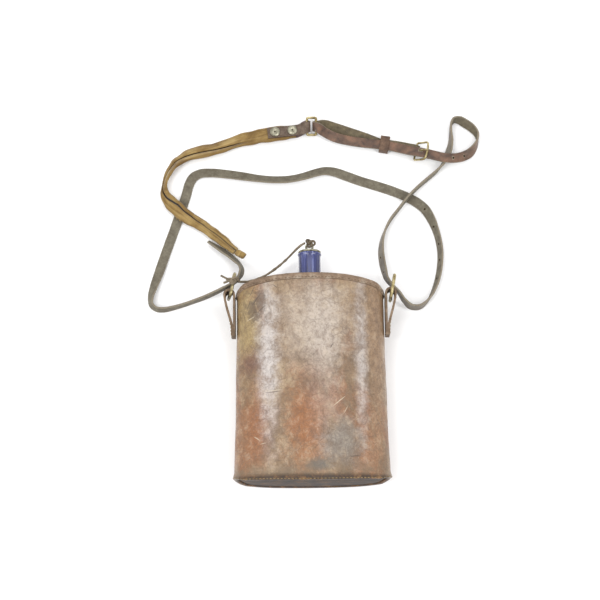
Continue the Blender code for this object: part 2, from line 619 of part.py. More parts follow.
def side_tab(name, side):
    """A leather strip folded round its ring and stitched to the case, seen as a teardrop from above."""
    fold, radius = TAB_FOLD, TAB_FOLD_R
    outer = [(72.75, TAB_LOW_Y), (73.1, 64.0)] + arc(fold, radius, 180, 0, 10)
    outer += [(84.2, 80.0), (82.4, 72.0), (79.6, 62.0), (77.3, 54.0), (76.95, TAB_LOW_Y)]
    inner = [(75.1, 54.0), (75.2, 64.0)] + arc(fold, radius - TAB_LAYER, 180, 0, 10)
    inner += [(82.1, 80.4), (80.3, 72.6), (77.6, 63.0), (75.4, 55.4)]
    outlines = [[(side * x, y) for x, y in line] for line in (outer, inner)]
    flat_outline(name, outlines, TAB_WIDTH, "case", Matrix.Translation((0, 0, RING_Z)))


def square_ring():
    """The wire ring between the riveted patch and the sling strap, leaning with the strap's turn."""
    half_long, half_short, bend = 9.0, 4.6, 1.4
    corners = ((half_short, half_long), (-half_short, half_long),
               (-half_short, -half_long), (half_short, -half_long))
    outline = []
    for k, (x, y) in enumerate(corners):
        centre = (x - math.copysign(bend, x), y - math.copysign(bend, y))
        outline += arc(centre, bend, 90 * k, 90 * k + 90, 3)
    lean = Matrix.Translation((4.1, 269.7, 9.8)) @ Matrix.Rotation(math.radians(SQUARE_LEAN), 4, "X")
    wire("square_ring", [(x, y, 0) for x, y in outline], SQUARE_WIRE_R, "brass", cyclic=True, place=lean)


def buckle_stand():
    """Where the buckle stands: its heel bar's middle, turned with the strap and tipped up."""
    return (Matrix.Translation(BUCKLE_HEEL) @ Matrix.Rotation(math.radians(BUCKLE_TURN), 4, "Z")
            @ Matrix.Rotation(math.radians(-BUCKLE_TIP), 4, "Y"))


def buckle():
    """A wire buckle: its heel bar lies in the strap's fold, and its front bar lies over the strap."""
    half_long, length, bend = 9.4, 14.4, 3.0
    outline = [(0.0, 1.0 - half_long), (1.0, -half_long)]
    outline += arc((length - bend, -half_long + bend), bend, -90, 0, 3) + [(length + 0.8, 0)]
    outline += arc((length - bend, half_long - bend), bend, 0, 90, 3)
    outline += [(1.0, half_long), (0.0, half_long - 1.0)]
    wire("buckle_frame", [(x, y, 0) for x, y in outline], HEEL_R, "brass", cyclic=True, place=buckle_stand())
    hook = [(x, 0, z) for x, z in arc((0, 0), HEEL_R + GAP + TONGUE_R, -60, -270, 8)]
    rise = [(2.2, 0, TONGUE_RISE), (8.0, 0, TONGUE_RISE), (14.0, 0, TONGUE_RISE), (17.4, 0, 1.9)]
    wire("buckle_tongue", hook + rise, TONGUE_R, "brass", place=buckle_stand())


def keeper():
    """The leather loop that holds the strap's two layers together."""
    across, high, wall = 13.6, 5.8, 1.3
    outlines = []
    for grow in (0, wall):
        w, h = across / 2 + grow, high / 2 + grow
        outlines.insert(0, [(w, -h), (w, h), (-w, h), (-w, -h)])
    stand = (Matrix.Translation((78.5, 250.6, 5.1)) @ Matrix.Rotation(math.radians(-10), 4, "Z")
             @ Matrix.Rotation(math.pi / 2, 4, "Z") @ Matrix.Rotation(math.pi / 2, 4, "X"))
    flat_outline("strap_keeper", outlines, 9.6, "dark", stand)


def build():
    start_scene()
    case()
    flask()
    stopper()
    thong()
    side_tab("tab_right", 1)
    side_tab("tab_left", -1)
    d_ring("ring_right", RIGHT_BAR, RIGHT_LEAN, 0.0)
    d_ring("ring_left", LEFT_BAR, LEFT_LEAN, LEFT_BAR_TILT)
    square_ring()
    buckle()
    keeper()
    sling_strap()
    shoulder_rivets(webbing(), rivet_patch())


build()
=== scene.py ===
"""A leather-cased canteen on its back: enamelled neck with its stopper and thong, D-rings in their tabs,
a buckled sling strap and a folded canvas shoulder piece. Metres, +Y towards the neck, +Z up."""
import math

import bmesh
import bpy
from mathutils import Matrix, Vector, noise


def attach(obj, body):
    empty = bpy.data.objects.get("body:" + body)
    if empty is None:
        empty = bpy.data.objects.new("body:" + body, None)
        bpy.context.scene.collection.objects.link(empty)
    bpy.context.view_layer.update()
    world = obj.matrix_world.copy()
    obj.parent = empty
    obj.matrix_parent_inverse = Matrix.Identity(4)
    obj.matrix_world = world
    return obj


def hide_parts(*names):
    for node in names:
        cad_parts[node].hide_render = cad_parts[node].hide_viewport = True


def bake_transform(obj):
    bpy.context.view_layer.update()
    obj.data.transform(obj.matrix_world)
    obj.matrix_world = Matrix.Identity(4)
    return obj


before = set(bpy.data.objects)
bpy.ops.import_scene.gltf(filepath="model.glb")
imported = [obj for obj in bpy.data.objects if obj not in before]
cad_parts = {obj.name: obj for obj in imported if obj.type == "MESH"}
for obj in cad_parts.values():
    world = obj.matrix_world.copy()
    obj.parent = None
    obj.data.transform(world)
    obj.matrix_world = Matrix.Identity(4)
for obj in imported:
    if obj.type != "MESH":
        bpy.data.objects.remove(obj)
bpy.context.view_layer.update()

MM = 0.001
TURNED_SIDES = 72  # facets round a turned piece
PER_SPAN = 6       # sections between two rows of a strap
NECK_Z = 31.0      # height of the neck's axis, in millimetres
FRONT_Z = 0.056    # height of the case's front face, in metres


def dye(red, green, blue):
    """A colour given on a 0 to 255 scale, as light."""
    return tuple((c / 255 / 12.92) if c / 255 <= 0.04045 else ((c / 255 + 0.055) / 1.055) ** 2.4
                 for c in (red, green, blue)) + (1.0,)


# ---------------------------------------------------------------- camera, light and table

CAMERA_HEIGHT = 75.0      # degrees above the table
CAMERA_AWAY = 1.5
CAMERA_AIM = Vector((-0.00987, 0.08823, 0.0))
CAMERA_ROLL = 0.7         # degrees


def set_up_camera():
    """A long lens that looks down at the front of the canteen, which lies on its back."""
    data = bpy.data.cameras.new("camera")
    data.lens = 90.0
    data.sensor_width = 36.0
    camera = bpy.data.objects.new("camera", data)
    bpy.context.scene.collection.objects.link(camera)
    rise = math.radians(CAMERA_HEIGHT)
    back = Vector((0, -math.cos(rise), math.sin(rise)))
    camera.location = CAMERA_AIM + back * CAMERA_AWAY
    aim = (-back).to_track_quat("-Z", "Y").to_matrix().to_4x4()
    roll = Matrix.Rotation(math.radians(-CAMERA_ROLL), 4, "Z")
    camera.matrix_world = Matrix.Translation(camera.location) @ aim @ roll
    bpy.context.scene.camera = camera


def softbox(name, place, aim, wide, tall, power):
    """A rectangular lamp that faces its aim, in metres and watts."""
    light = bpy.data.lights.new(name, "AREA")
    light.shape = "RECTANGLE"
    light.size = wide
    light.size_y = tall
    light.energy = power
    lamp = bpy.data.objects.new(name, light)
    lamp.location = place
    lamp.rotation_euler = (Vector(aim) - Vector(place)).to_track_quat("-Z", "Y").to_euler()
    bpy.context.scene.collection.objects.link(lamp)


def set_up_studio():
    """Even white light with two strips for gloss, and a white table that the canteen lies on."""
    world = bpy.data.worlds.new("studio")
    bpy.context.scene.world = world
    world.use_nodes = True
    sky = world.node_tree.nodes["Background"]
    sky.inputs["Color"].default_value = (1, 1, 1, 1)
    sky.inputs["Strength"].default_value = 0.84
    softbox("strip_left", (-0.74, -0.35, 1.25), (-0.02, 0.03, 0.03), 0.20, 1.3, 10.0)
    softbox("strip_right", (0.86, -0.30, 1.25), (0.02, 0.03, 0.03), 0.14, 1.3, 8.0)
    softbox("overhead", (0.0, 0.9, 1.5), (0, 0.1, 0), 1.6, 0.9, 6.0)
    bpy.context.scene.view_settings.view_transform = "Standard"
    bpy.ops.mesh.primitive_plane_add(size=6.0, location=(0, 0, -0.0002))
    table = bpy.context.object
    table.name = "table"
    paper = bpy.data.materials.new("white_paper")
    paper.use_nodes = True
    shader = paper.node_tree.nodes["Principled BSDF"]
    shader.inputs["Base Color"].default_value = (0.96, 0.96, 0.965, 1)
    shader.inputs["Roughness"].default_value = 0.9
    shader.inputs["Specular IOR Level"].default_value = 0.1
    table.data.materials.append(paper)


# ---------------------------------------------------------------- finishes

class Finish:
    """A material and short ways to add its nodes."""

    def __init__(self, name, roughness=0.5, metallic=0.0, specular=0.5, coat=0.0, sheen=0.0):
        self.material = bpy.data.materials.new(name)
        self.material.use_nodes = True
        self.tree = self.material.node_tree
        self.shader = self.tree.nodes["Principled BSDF"]
        self.shader.inputs["Roughness"].default_value = roughness
        self.shader.inputs["Metallic"].default_value = metallic
        self.shader.inputs["Specular IOR Level"].default_value = specular
        self.shader.inputs["Coat Weight"].default_value = coat
        self.shader.inputs["Coat Roughness"].default_value = 0.3
        self.shader.inputs["Sheen Weight"].default_value = sheen
        self.where = self.node("ShaderNodeTexCoord").outputs["Object"]

    def node(self, kind, **settings):
        """A new node with its own settings."""
        made = self.tree.nodes.new(kind)
        for key, value in settings.items():
            setattr(made, key, value)
        return made

    def put(self, socket, value):
        """Link a socket into an input, or set the input to a plain value."""
        if isinstance(value, bpy.types.NodeSocket):
            self.tree.links.new(value, socket)
        else:
            socket.default_value = value

    def stretched(self, scale, place=(0, 0, 0)):
        """The piece's coordinates scaled and moved, so that a pattern is drawn out or differs."""
        made = self.node("ShaderNodeMapping")
        self.put(made.inputs["Vector"], self.where)
        made.inputs["Location"].default_value = place
        made.inputs["Scale"].default_value = scale
        return made.outputs["Vector"]

    def cloud(self, scale, detail=4.0, rough=0.55, warp=0.0, vector=None):
        """Soft noise between 0 and 1."""
        made = self.node("ShaderNodeTexNoise")
        self.put(made.inputs["Vector"], vector or self.where)
        made.inputs["Scale"].default_value = scale
        made.inputs["Detail"].default_value = detail
        made.inputs["Roughness"].default_value = rough
        made.inputs["Distortion"].default_value = warp
        return made.outputs["Fac"]

    def pebbles(self, scale, vector=None):
        """Grains, as the distance to the lines between them."""
        made = self.node("ShaderNodeTexVoronoi", feature="DISTANCE_TO_EDGE")
        self.put(made.inputs["Vector"], vector or self.where)
        made.inputs["Scale"].default_value = scale
        return made.outputs["Distance"]

    def ramp(self, factor, *stops):
        """A colour by factor, from stops of (place, colour)."""
        made = self.node("ShaderNodeValToRGB")
        self.put(made.inputs["Fac"], factor)
        bar = made.color_ramp.elements
        while len(bar) < len(stops):
            bar.new(0.5)
        for element, (place, colour) in zip(bar, stops):
            element.position = place
            element.color = colour
        return made.outputs["Color"]

    def between(self, value, low, high, out_low=0.0, out_high=1.0):
        """A soft step from out_low at low to out_high at high."""
        made = self.node("ShaderNodeMapRange", interpolation_type="SMOOTHSTEP")
        self.put(made.inputs["Value"], value)
        keys = ("From Min", "From Max", "To Min", "To Max")
        for key, number in zip(keys, (low, high, out_low, out_high)):
            made.inputs[key].default_value = number
        return made.outputs["Result"]

    def math(self, operation, a, b=0.0):
        """The result of a Math node on two values."""
        made = self.node("ShaderNodeMath", operation=operation)
        self.put(made.inputs[0], a)
        self.put(made.inputs[1], b)
        return made.outputs[0]

    def mix(self, factor, a, b, blend="MIX"):
        """Colour a with colour b laid over it by factor."""
        made = self.node("ShaderNodeMix", data_type="RGBA", blend_type=blend)
        for number, value in ((0, factor), (6, a), (7, b)):
            self.put(made.inputs[number], value)
        return made.outputs[2]

    def shifted(self, amount, vector=None):
        """Coordinates bent a little by noise, so that lines on them aren't straight."""
        bend = self.node("ShaderNodeTexNoise").outputs["Color"]
        return self.mix(amount, vector or self.where, bend, "ADD")

    def vector_math(self, operation, a, b=(0, 0, 0)):
        """A Vector Math node on two vectors."""
        made = self.node("ShaderNodeVectorMath", operation=operation)
        self.put(made.inputs[0], a)
        self.put(made.inputs[1], b)
        return made

    def patch(self, place, reach, ragged=0.35, edge=0.55):
        """1 inside an oval patch and 0 outside it, with a ragged edge. Sizes in metres."""
        offset = self.vector_math("SUBTRACT", self.where, place).outputs[0]
        scaled = self.vector_math("DIVIDE", offset, reach).outputs[0]
        length = self.vector_math("LENGTH", scaled)
        torn = self.math("MULTIPLY_ADD", self.cloud(95.0, 9.0, 0.74), ragged * 2.6)
        torn.node.inputs[2].default_value = -ragged * 1.3
        worn = self.math("ADD", length.outputs["Value"], torn)
        return self.between(worn, 1.0 - edge, 1.0 + edge * 0.6, 1.0, 0.0)

    def marks(self, *places):
        """1 on thin marks on the front, each (x, y, half length, half width, angle), metres and degrees."""
        both = 0.0
        bend = 0.0025
        for x, y, half_long, half_wide, angle in places:
            local = self.node("ShaderNodeMapping", vector_type="TEXTURE")
            self.put(local.inputs["Vector"], self.shifted(bend))
            local.inputs["Location"].default_value = (x + bend / 2, y + bend / 2, FRONT_Z)
            local.inputs["Rotation"].default_value = (0, 0, math.radians(angle))
            local.inputs["Scale"].default_value = (half_long, half_wide, 0.02)
            far = self.vector_math("LENGTH", local.outputs[0])
            both = self.math("MAXIMUM", both, self.between(far.outputs["Value"], 0.5, 1.0, 1.0, 0.0))
        return both

    def line_space(self, run, across, along_scale, across_scale):
        """Coordinates that follow a strip, so that a pattern can be drawn out along it."""
        made = self.node("ShaderNodeCombineXYZ")
        self.put(made.inputs["X"], self.math("MULTIPLY", run, along_scale))
        self.put(made.inputs["Y"], self.math("MULTIPLY", across, across_scale))
        return made.outputs["Vector"]

    def axis(self, name):
        """One of the piece's coordinates, in metres."""
        split = self.node("ShaderNodeSeparateXYZ")
        self.put(split.inputs[0], self.where)
        return split.outputs[name]

    def attribute(self, name):
        """A value that the piece's points carry."""
        return self.node("ShaderNodeAttribute", attribute_name=name).outputs["Fac"]

    def colour(self, value):
        self.put(self.shader.inputs["Base Color"], value)

    def rough(self, value):
        self.put(self.shader.inputs["Roughness"], value)

    def relief(self, *layers):
        """Bumps, each (height, strength, depth in metres), the coarse ones first."""
        last = None
        for height, strength, depth in layers:
            made = self.node("ShaderNodeBump")
            made.inputs["Strength"].default_value = strength
            made.inputs["Distance"].default_value = depth
            self.put(made.inputs["Height"], height)
            if last:
                self.put(made.inputs["Normal"], last)
            last = made.outputs["Normal"]
        self.put(self.shader.inputs["Normal"], last)


# Worn and faded patches of the case, laid in turn: place and reach in metres, raggedness, softness, colour
WORN_PATCHES = (((0.004, 0.050, 0.057), (0.034, 0.045, 0.2), 0.7, 0.8, dye(174, 159, 143)),
                ((-0.062, 0.055, 0.04), (0.014, 0.05, 0.2), 0.6, 0.7, dye(156, 134, 92)),
                ((0.064, 0.03, 0.04), (0.010, 0.09, 0.2), 0.6, 0.7, dye(142, 116, 90)),
                ((-0.004, -0.044, 0.057), (0.022, 0.050, 0.2), 0.9, 0.8, dye(142, 90, 46)),
                ((-0.050, -0.045, 0.05), (0.012, 0.04, 0.2), 0.9, 0.8, dye(138, 88, 50)),
                ((0.028, -0.064, 0.057), (0.020, 0.022, 0.2), 0.9, 0.8, dye(126, 116, 104)),
                ((-0.056, 0.012, 0.05), (0.012, 0.014, 0.2), 0.9, 0.8, dye(112, 80, 62)))
# Painted sheen down the front, pale streaks of colour that stand in for the lamps' reflections: x, half width
# in metres, strength
PAINTED_SHEEN_STREAKS = ((-0.041, 0.010, 1.0), (0.048, 0.006, 0.75), (0.012, 0.016, 0.3))
# Marks on the front: x, y, half length, half width in metres, angle in degrees
PALE_MARKS = ((0.026, -0.026, 0.0095, 0.0006, 40), (-0.036, -0.0150, 0.009, 0.0005, 2),
              (-0.052, -0.0600, 0.0045, 0.0005, -35), (-0.046, -0.0650, 0.004, 0.0004, 12),
              (0.032, -0.0340, 0.005, 0.0004, 62), (-0.058, 0.0570, 0.006, 0.0005, 25))
SCORED_MARKS = ((-0.056, 0.0840, 0.008, 0.0007, 62), (-0.052, 0.0760, 0.009, 0.0007, 52),
                (-0.047, 0.0660, 0.006, 0.0006, 40), (-0.060, 0.0700, 0.006, 0.0006, 70),
                (-0.036, -0.0162, 0.010, 0.0005, 2), (-0.034, 0.0880, 0.004, 0.0006, -40),
                (0.020, 0.0280, 0.004, 0.0006, 60), (0.040, -0.0780, 0.007, 0.0006, 6))


def case_leather():
    """Waxed brown leather, mottled and finely cracked, with worn reddish patches and pale streaks of painted
    sheen down the front.
    """
    f = Finish("case_leather", roughness=0.42, specular=0.5, coat=0.1)
    soft = f.cloud(30.0, 9.0, 0.68, 0.5, f.stretched((1, 0.55, 1)))
    middle = f.cloud(120.0, 8.0, 0.72, 0.5, f.stretched((1, 0.7, 1)))
    fine = f.cloud(480.0, 6.0, 0.72)
    base = f.ramp(soft, (0.34, dye(98, 78, 54)), (0.5, dye(134, 109, 81)), (0.66, dye(160, 139, 110)))
    reddish = f.cloud(20.0, 8.0, 0.66, 0.6, f.stretched((1, 0.5, 1), (3, 1, 2)))
    base = f.mix(f.between(reddish, 0.46, 0.60, 0.0, 0.7), base, dye(140, 90, 54))
    for place, reach, ragged, softness, colour in WORN_PATCHES:
        base = f.mix(f.patch(place, reach, ragged, softness), base, colour)
    cracked = f.pebbles(150.0, f.shifted(0.03, f.stretched((1, 0.8, 1))))
    patchy = f.between(f.cloud(60.0, 5.0, 0.7), 0.42, 0.60)
    cracks = f.math("MULTIPLY", f.between(cracked, 0.0, 0.09, 1.0, 0.0), patchy)
    # Painted sheen: pale grey streaks that stand in for the lamps' reflections on the waxed front.
    for x, width, amount in PAINTED_SHEEN_STREAKS:
        streak = f.patch((x, 0.02, 0.055), (width, 0.080, 0.2), 0.8, 0.95)
        cloudy = f.math("MULTIPLY", streak, f.between(middle, 0.30, 0.58, 0.6 * amount, amount))
        base = f.mix(cloudy, base, dye(189, 182, 178))
    scuff = f.patch((-0.052, 0.070, 0.052), (0.012, 0.020, 0.2), 0.9, 0.8)
    base = f.mix(f.math("MULTIPLY", scuff, f.between(middle, 0.60, 0.46, 0.0, 0.7)), base, dye(88, 78, 68))
    dark = f.patch((-0.002, -0.010, 0.057), (0.012, 0.010, 0.2), 0.9, 0.9)
    base = f.mix(f.math("MULTIPLY", dark, 0.45), base, dye(96, 74, 60))
    for speckle, start, full, amount, colour in ((middle, 0.56, 0.34, 0.42, dye(92, 70, 54)),
                                                 (middle, 0.50, 0.68, 0.32, dye(190, 170, 146)),
                                                 (fine, 0.54, 0.34, 0.4, dye(78, 60, 48)),
                                                 (fine, 0.60, 0.74, 0.4, dye(206, 190, 166))):
        base = f.mix(f.between(speckle, start, full, 0.0, amount), base, colour)
    base = f.mix(f.math("MULTIPLY", cracks, 0.34), base, dye(84, 66, 52))
    grime = f.between(f.axis("Y"), -0.094, -0.078, 0.75, 0.0)
    grime = f.math("MULTIPLY", grime, f.between(f.cloud(90.0, 8.0, 0.7), 0.38, 0.58))
    base = f.mix(grime, base, dye(112, 94, 72))
    stain = f.patch((0.006, -0.086, 0.05), (0.012, 0.006, 0.2), 0.9, 0.8)
    base = f.mix(f.math("MULTIPLY", stain, 0.7), base, dye(84, 86, 80))
    rim = f.between(f.axis("Y"), -0.0975, -0.0925, 1.0, 0.0)
    worn = f.math("MULTIPLY", rim, f.between(middle, 0.3, 0.5, 0.75, 1.0))
    worn_dyes = ((0.38, dye(28, 19, 11)), (0.52, dye(68, 45, 22)), (0.66, dye(132, 94, 52)))
    base = f.mix(worn, base, f.ramp(middle, *worn_dyes))
    pale, scored = f.marks(*PALE_MARKS), f.marks(*SCORED_MARKS)
    base = f.mix(f.math("MULTIPLY", scored, 0.6), base, dye(64, 52, 44))
    base = f.mix(f.math("MULTIPLY", pale, 0.55), base, dye(206, 192, 168))
    f.colour(base)
    f.rough(f.between(f.cloud(70.0, 7.0, 0.7), 0.3, 0.7, 0.26, 0.52))
    wrinkles = f.cloud(75.0, 7.0, 0.66, 1.2, f.stretched((0.8, 1.3, 1)))
    lined = f.math("SUBTRACT", pale, f.math("ADD", scored, cracks))
    f.relief((wrinkles, 0.8, 0.0014), (middle, 0.5, 0.0006), (lined, 0.5, 0.0003), (fine, 0.4, 0.0003))
    return f.material


def band_leather(name, light, dark, warm):
    """Thicker, drier leather of the bands, mottled and flecked darker."""
    f = Finish(name, roughness=0.6, specular=0.35)
    soft = f.cloud(70.0, 6.0, 0.65, 0.5)
    base = f.ramp(soft, (0.34, dark), (0.52, warm), (0.68, light))
    f.colour(f.mix(f.between(f.cloud(330.0, 4.0, 0.7), 0.45, 0.62, 0.0, 0.5), base, dark))
    f.relief((soft, 0.5, 0.0008), (f.pebbles(1100.0), 0.3, 0.0003))
    return f.material


def strap_leather(name, grain, flesh, edge, warm_grain=None, warm_flesh=None):
    """Strap leather: smooth grain side, matt flesh side and darker cut edges, told apart by the strap's
    own 'side' values. grain and flesh are (dark, light) dyes, and where there are warm ones they dye
    the buckle end, by its 'run' values."""
    f = Finish(name, roughness=0.55, specular=0.4, coat=0.05)
    mottle = f.cloud(85.0, 5.0, 0.6, 0.6)
    smooth_side = f.ramp(mottle, (0.36, grain[0]), (0.62, grain[1]))
    nap = f.cloud(160.0, 6.0, 0.68)
    rough_side = f.ramp(nap, (0.36, flesh[0]), (0.62, flesh[1]))
    if warm_grain:
        far = f.between(f.attribute("run"), *WARM_RUN)
        smooth_side = f.mix(far, f.ramp(mottle, (0.36, warm_grain[0]), (0.64, warm_grain[1])), smooth_side)
        rough_side = f.mix(far, f.ramp(nap, (0.36, warm_flesh[0]), (0.62, warm_flesh[1])), rough_side)
    side = f.attribute("side")
    base = f.mix(f.between(side, 0.35, 0.65), rough_side, smooth_side)
    cut = f.math("SUBTRACT", 1.0, f.between(f.math("ABSOLUTE", f.math("SUBTRACT", side, 0.5)), 0.1, 0.45))
    base = f.mix(f.math("MULTIPLY", cut, 0.8), base, edge)
    speck = f.cloud(620.0, 5.0, 0.72)
    base = f.mix(f.between(speck, 0.54, 0.36, 0.0, 0.45), base, grain[0])
    base = f.mix(f.between(speck, 0.60, 0.74, 0.0, 0.35), base, dye(176, 166, 146))
    f.colour(base)
    f.rough(f.between(side, 0.2, 0.8, 0.72, 0.46))
    f.relief((mottle, 0.35, 0.0006), (f.pebbles(1300.0), 0.35, 0.0002), (f.cloud(700.0, 3.0), 0.3, 0.0002))
    return f.material


THREAD_PITCH = 0.0011     # metres


def canvas():
    """Golden tan canvas, its weave following the strip by its 'run' and 'across' values, with painted shade
    towards its edges, in the valleys of its pleats and deep in its slit, and painted highlight on the pleats'
    ridges.
    """
    f = Finish("canvas", roughness=0.92, specular=0.1, sheen=0.25)
    run, across = f.attribute("run"), f.attribute("across")
    threads = 2 * math.pi / THREAD_PITCH
    warp, weft = (f.math("SINE", f.math("MULTIPLY", way, threads)) for way in (across, run))
    weave = f.math("MULTIPLY", warp, weft)
    mottle = f.cloud(60.0, 5.0, 0.6, 0.5)
    base = f.ramp(mottle, (0.34, dye(118, 92, 50)), (0.50, dye(148, 121, 73)), (0.66, dye(172, 146, 94)))
    base = f.mix(f.between(f.cloud(28.0, 3.0), 0.52, 0.68, 0.0, 0.4), base, dye(132, 102, 62))
    base = f.mix(f.between(weave, -1.0, 1.0, 0.22, 0.0), base, dye(104, 80, 44))
    # Painted shade: the canvas darkens towards its two edges.
    edges = f.between(f.math("ABSOLUTE", across), 0.0035, 0.0072, 0.0, 0.5)
    base = f.mix(edges, base, dye(112, 86, 46))
    pleats = f.cloud(90.0, 5.0, 0.6, 0.0, f.line_space(run, across, 0.22, 4.0))
    # Painted shade in the valleys of the pleats and painted highlight on their ridges, following the same
    # noise as their bumps.
    base = f.mix(f.between(pleats, 0.50, 0.36, 0.0, 0.6), base, dye(94, 70, 36))
    base = f.mix(f.between(pleats, 0.54, 0.68, 0.0, 0.5), base, dye(196, 170, 116))
    # Painted shade: the canvas turns dark deep in the slit between its folds.
    hollow = f.attribute("hollow")
    f.colour(f.mix(f.between(hollow, 0.12, 0.6), base, dye(46, 32, 16)))
    lint = f.cloud(900.0, 3.0)
    f.relief((mottle, 0.4, 0.001), (pleats, 0.7, 0.0012), (weave, 0.6, 0.0003), (lint, 0.3, 0.0002))
    return f.material


def blue_enamel():
    """Dark blue glass enamel, streaky along the neck, its pale streaks painted highlight that stands in for
    reflections, with a few small chips.
    """
    f = Finish("blue_enamel", roughness=0.16, specular=0.6, coat=0.6)
    streaks = f.cloud(210.0, 6.0, 0.66, 0.0, f.stretched((1, 0.05, 1)))
    # The streaks vary the enamel's tone, and their pale end is painted highlight standing in for reflections
    # along the neck.
    base = f.ramp(streaks, (0.36, dye(16, 20, 60)), (0.49, dye(44, 52, 112)), (0.62, dye(136, 144, 186)))
    chips = f.between(f.cloud(420.0, 2.0, 0.5), 0.70, 0.74)
    f.colour(f.mix(chips, base, dye(40, 38, 44)))
    f.rough(f.between(streaks, 0.3, 0.7, 0.12, 0.32))
    f.relief((streaks, 0.15, 0.0003), (chips, 0.4, 0.0002))
    return f.material


def old_metal(name, bright, dull, dirt, roughness=0.38, metallic=0.85):
    """Metal that is rubbed bright in places and tarnished in others."""
    f = Finish(name, roughness=roughness, metallic=metallic)
    patina = f.cloud(260.0, 5.0, 0.62, 0.4)
    base = f.ramp(patina, (0.26, dirt), (0.44, dull), (0.62, bright))
    f.colour(base)
    f.rough(f.between(patina, 0.3, 0.7, roughness + 0.18, roughness - 0.08))
    f.relief((f.cloud(900.0, 4.0), 0.25, 0.0002), (patina, 0.3, 0.0003))
    return f.material


def bare_cork():
    """Brown cork with dark pores."""
    f = Finish("bare_cork", roughness=0.9, specular=0.15)
    pores = f.pebbles(520.0)
    base = f.ramp(f.cloud(180.0, 5.0, 0.7), (0.3, dye(122, 86, 54)), (0.7, dye(190, 150, 106)))
    f.colour(f.mix(f.between(pores, 0.02, 0.10, 0.6, 0.0), base, dye(70, 46, 30)))
    f.relief((pores, 0.4, 0.0004))
    return f.material


def thread(name, colour):
    """Dull waxed sewing thread."""
    f = Finish(name, roughness=0.85, specular=0.15)
    f.colour(f.mix(f.between(f.cloud(900.0, 2.0), 0.4, 0.6, 0.0, 0.4), colour, dye(70, 56, 40)))
    return f.material


# ---------------------------------------------------------------- making and placing pieces

def linked(name, data):
    """A new object in the scene."""
    made = bpy.data.objects.new(name, data)
    bpy.context.scene.collection.objects.link(made)
    return made


def as_mesh(name, bm):
    """The plain mesh of a bmesh, which is freed."""
    mesh = bpy.data.meshes.new(name)
    bm.to_mesh(mesh)
    bm.free()
    return mesh


def from_bmesh(name, bm, finish, body, stands_for=(), sharp=42.0):
    """A finished piece made from a bmesh in metres, its faces turned outwards."""
    bmesh.ops.recalc_face_normals(bm, faces=bm.faces)
    return from_mesh(name, as_mesh(name, bm), finish, body, stands_for, sharp)


def from_mesh(name, mesh, finish, body, stands_for=(), sharp=42.0):
    """A finished piece that rides with a body and stands for solids, sharp above an angle in degrees."""
    if finish:
        mesh.materials.clear()
        mesh.materials.append(finish)
    mesh.shade_smooth()
    mesh.set_sharp_from_angle(angle=math.radians(sharp))
    piece = linked(name, mesh)
    if body:
        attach(piece, body)
    if stands_for:
        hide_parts(*stands_for)
    return piece


def settled(draft):
    """The plain mesh of a draft with its modifiers applied; the draft is removed."""
    bpy.context.view_layer.update()
    graph = bpy.context.evaluated_depsgraph_get()
    mesh = bpy.data.meshes.new_from_object(draft.evaluated_get(graph))
    mesh.transform(draft.matrix_world)
    bpy.data.objects.remove(draft, do_unlink=True)
    return mesh


def same_shape(name, node, finish, body, edge):
    """A solid's own shape with its edges eased by so many millimetres."""
    bm = bmesh.new()
    bm.from_mesh(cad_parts[node].data)
    bmesh.ops.remove_doubles(bm, verts=bm.verts, dist=1e-6)
    bmesh.ops.dissolve_limit(bm, angle_limit=math.radians(1.0), verts=bm.verts, edges=bm.edges)
    draft = linked(name + "_draft", as_mesh(name, bm))
    if edge:
        ease = draft.modifiers.new("edges", "BEVEL")
        ease.width = edge * MM
        ease.segments = 3
        ease.limit_method = "ANGLE"
        ease.angle_limit = math.radians(35)
    return from_mesh(name, settled(draft), finish, body, (node,))


def smooth_through(rows, per_span):
    """Points of a smooth curve through rows of numbers that start with x, y, z. The slopes are weighted
    by the spans' lengths, so short spans beside long ones don't bulge."""
    rows = [Vector(row) for row in rows]
    spans = [(Vector(b[:3]) - Vector(a[:3])).length for a, b in zip(rows, rows[1:])]
    slopes = [(b - a) / length for a, b, length in zip(rows, rows[1:], spans)]
    inner = [(s0 * l1 + s1 * l0) / (l0 + l1)
             for s0, s1, l0, l1 in zip(slopes, slopes[1:], spans, spans[1:])]
    tangents = slopes[:1] + inner + slopes[-1:]
    out = []
    for i, length in enumerate(spans):
        rise = rows[i + 1] - rows[i]
        for k in range(per_span):
            t = k / per_span
            bend = (t * (1 - t) ** 2) * tangents[i] - (t * t * (1 - t)) * tangents[i + 1]
            out.append(rows[i] + t * t * (3 - 2 * t) * rise + length * bend)
    return out + [rows[-1]]


def arc(centre, radius, start, end, count):
    """Points of an arc between two angles in degrees."""
    angles = [math.radians(start + (end - start) * k / count) for k in range(count + 1)]
    return [(centre[0] + radius * math.cos(a), centre[1] + radius * math.sin(a)) for a in angles]


def skin(bm, rings, closed=False):
    """Faces from each ring of points to the next and, where closed, from the last to the first."""
    count = len(rings[0])
    for low, high in zip(rings, rings[1:] + (rings[:1] if closed else [])):
        for i in range(count):
            j = (i + 1) % count
            bm.faces.new((low[i], low[j], high[j], high[i]))


def wire(name, points, radius, finish, body, stands_for=(), cyclic=False, place=Matrix.Identity(4),
         sides=5, swell=0.0):
    """A round wire or cord through points in millimetres, its thickness varying a little by swell."""
    curve = bpy.data.curves.new(name, "CURVE")
    curve.dimensions = "3D"
    curve.bevel_depth = radius * MM
    curve.bevel_resolution = sides
    curve.use_fill_caps = not cyclic
    spline = curve.splines.new("POLY")
    spline.points.add(len(points) - 1)
    for knot, spot in zip(spline.points, points):
        spot = (place @ Vector(spot)) * MM
        knot.co = (*spot, 1.0)
        knot.radius = 1.0 + swell * noise.noise(spot * 260.0)
    spline.use_cyclic_u = cyclic
    return from_mesh(name, settled(linked(name + "_draft", curve)), finish, body, stands_for)


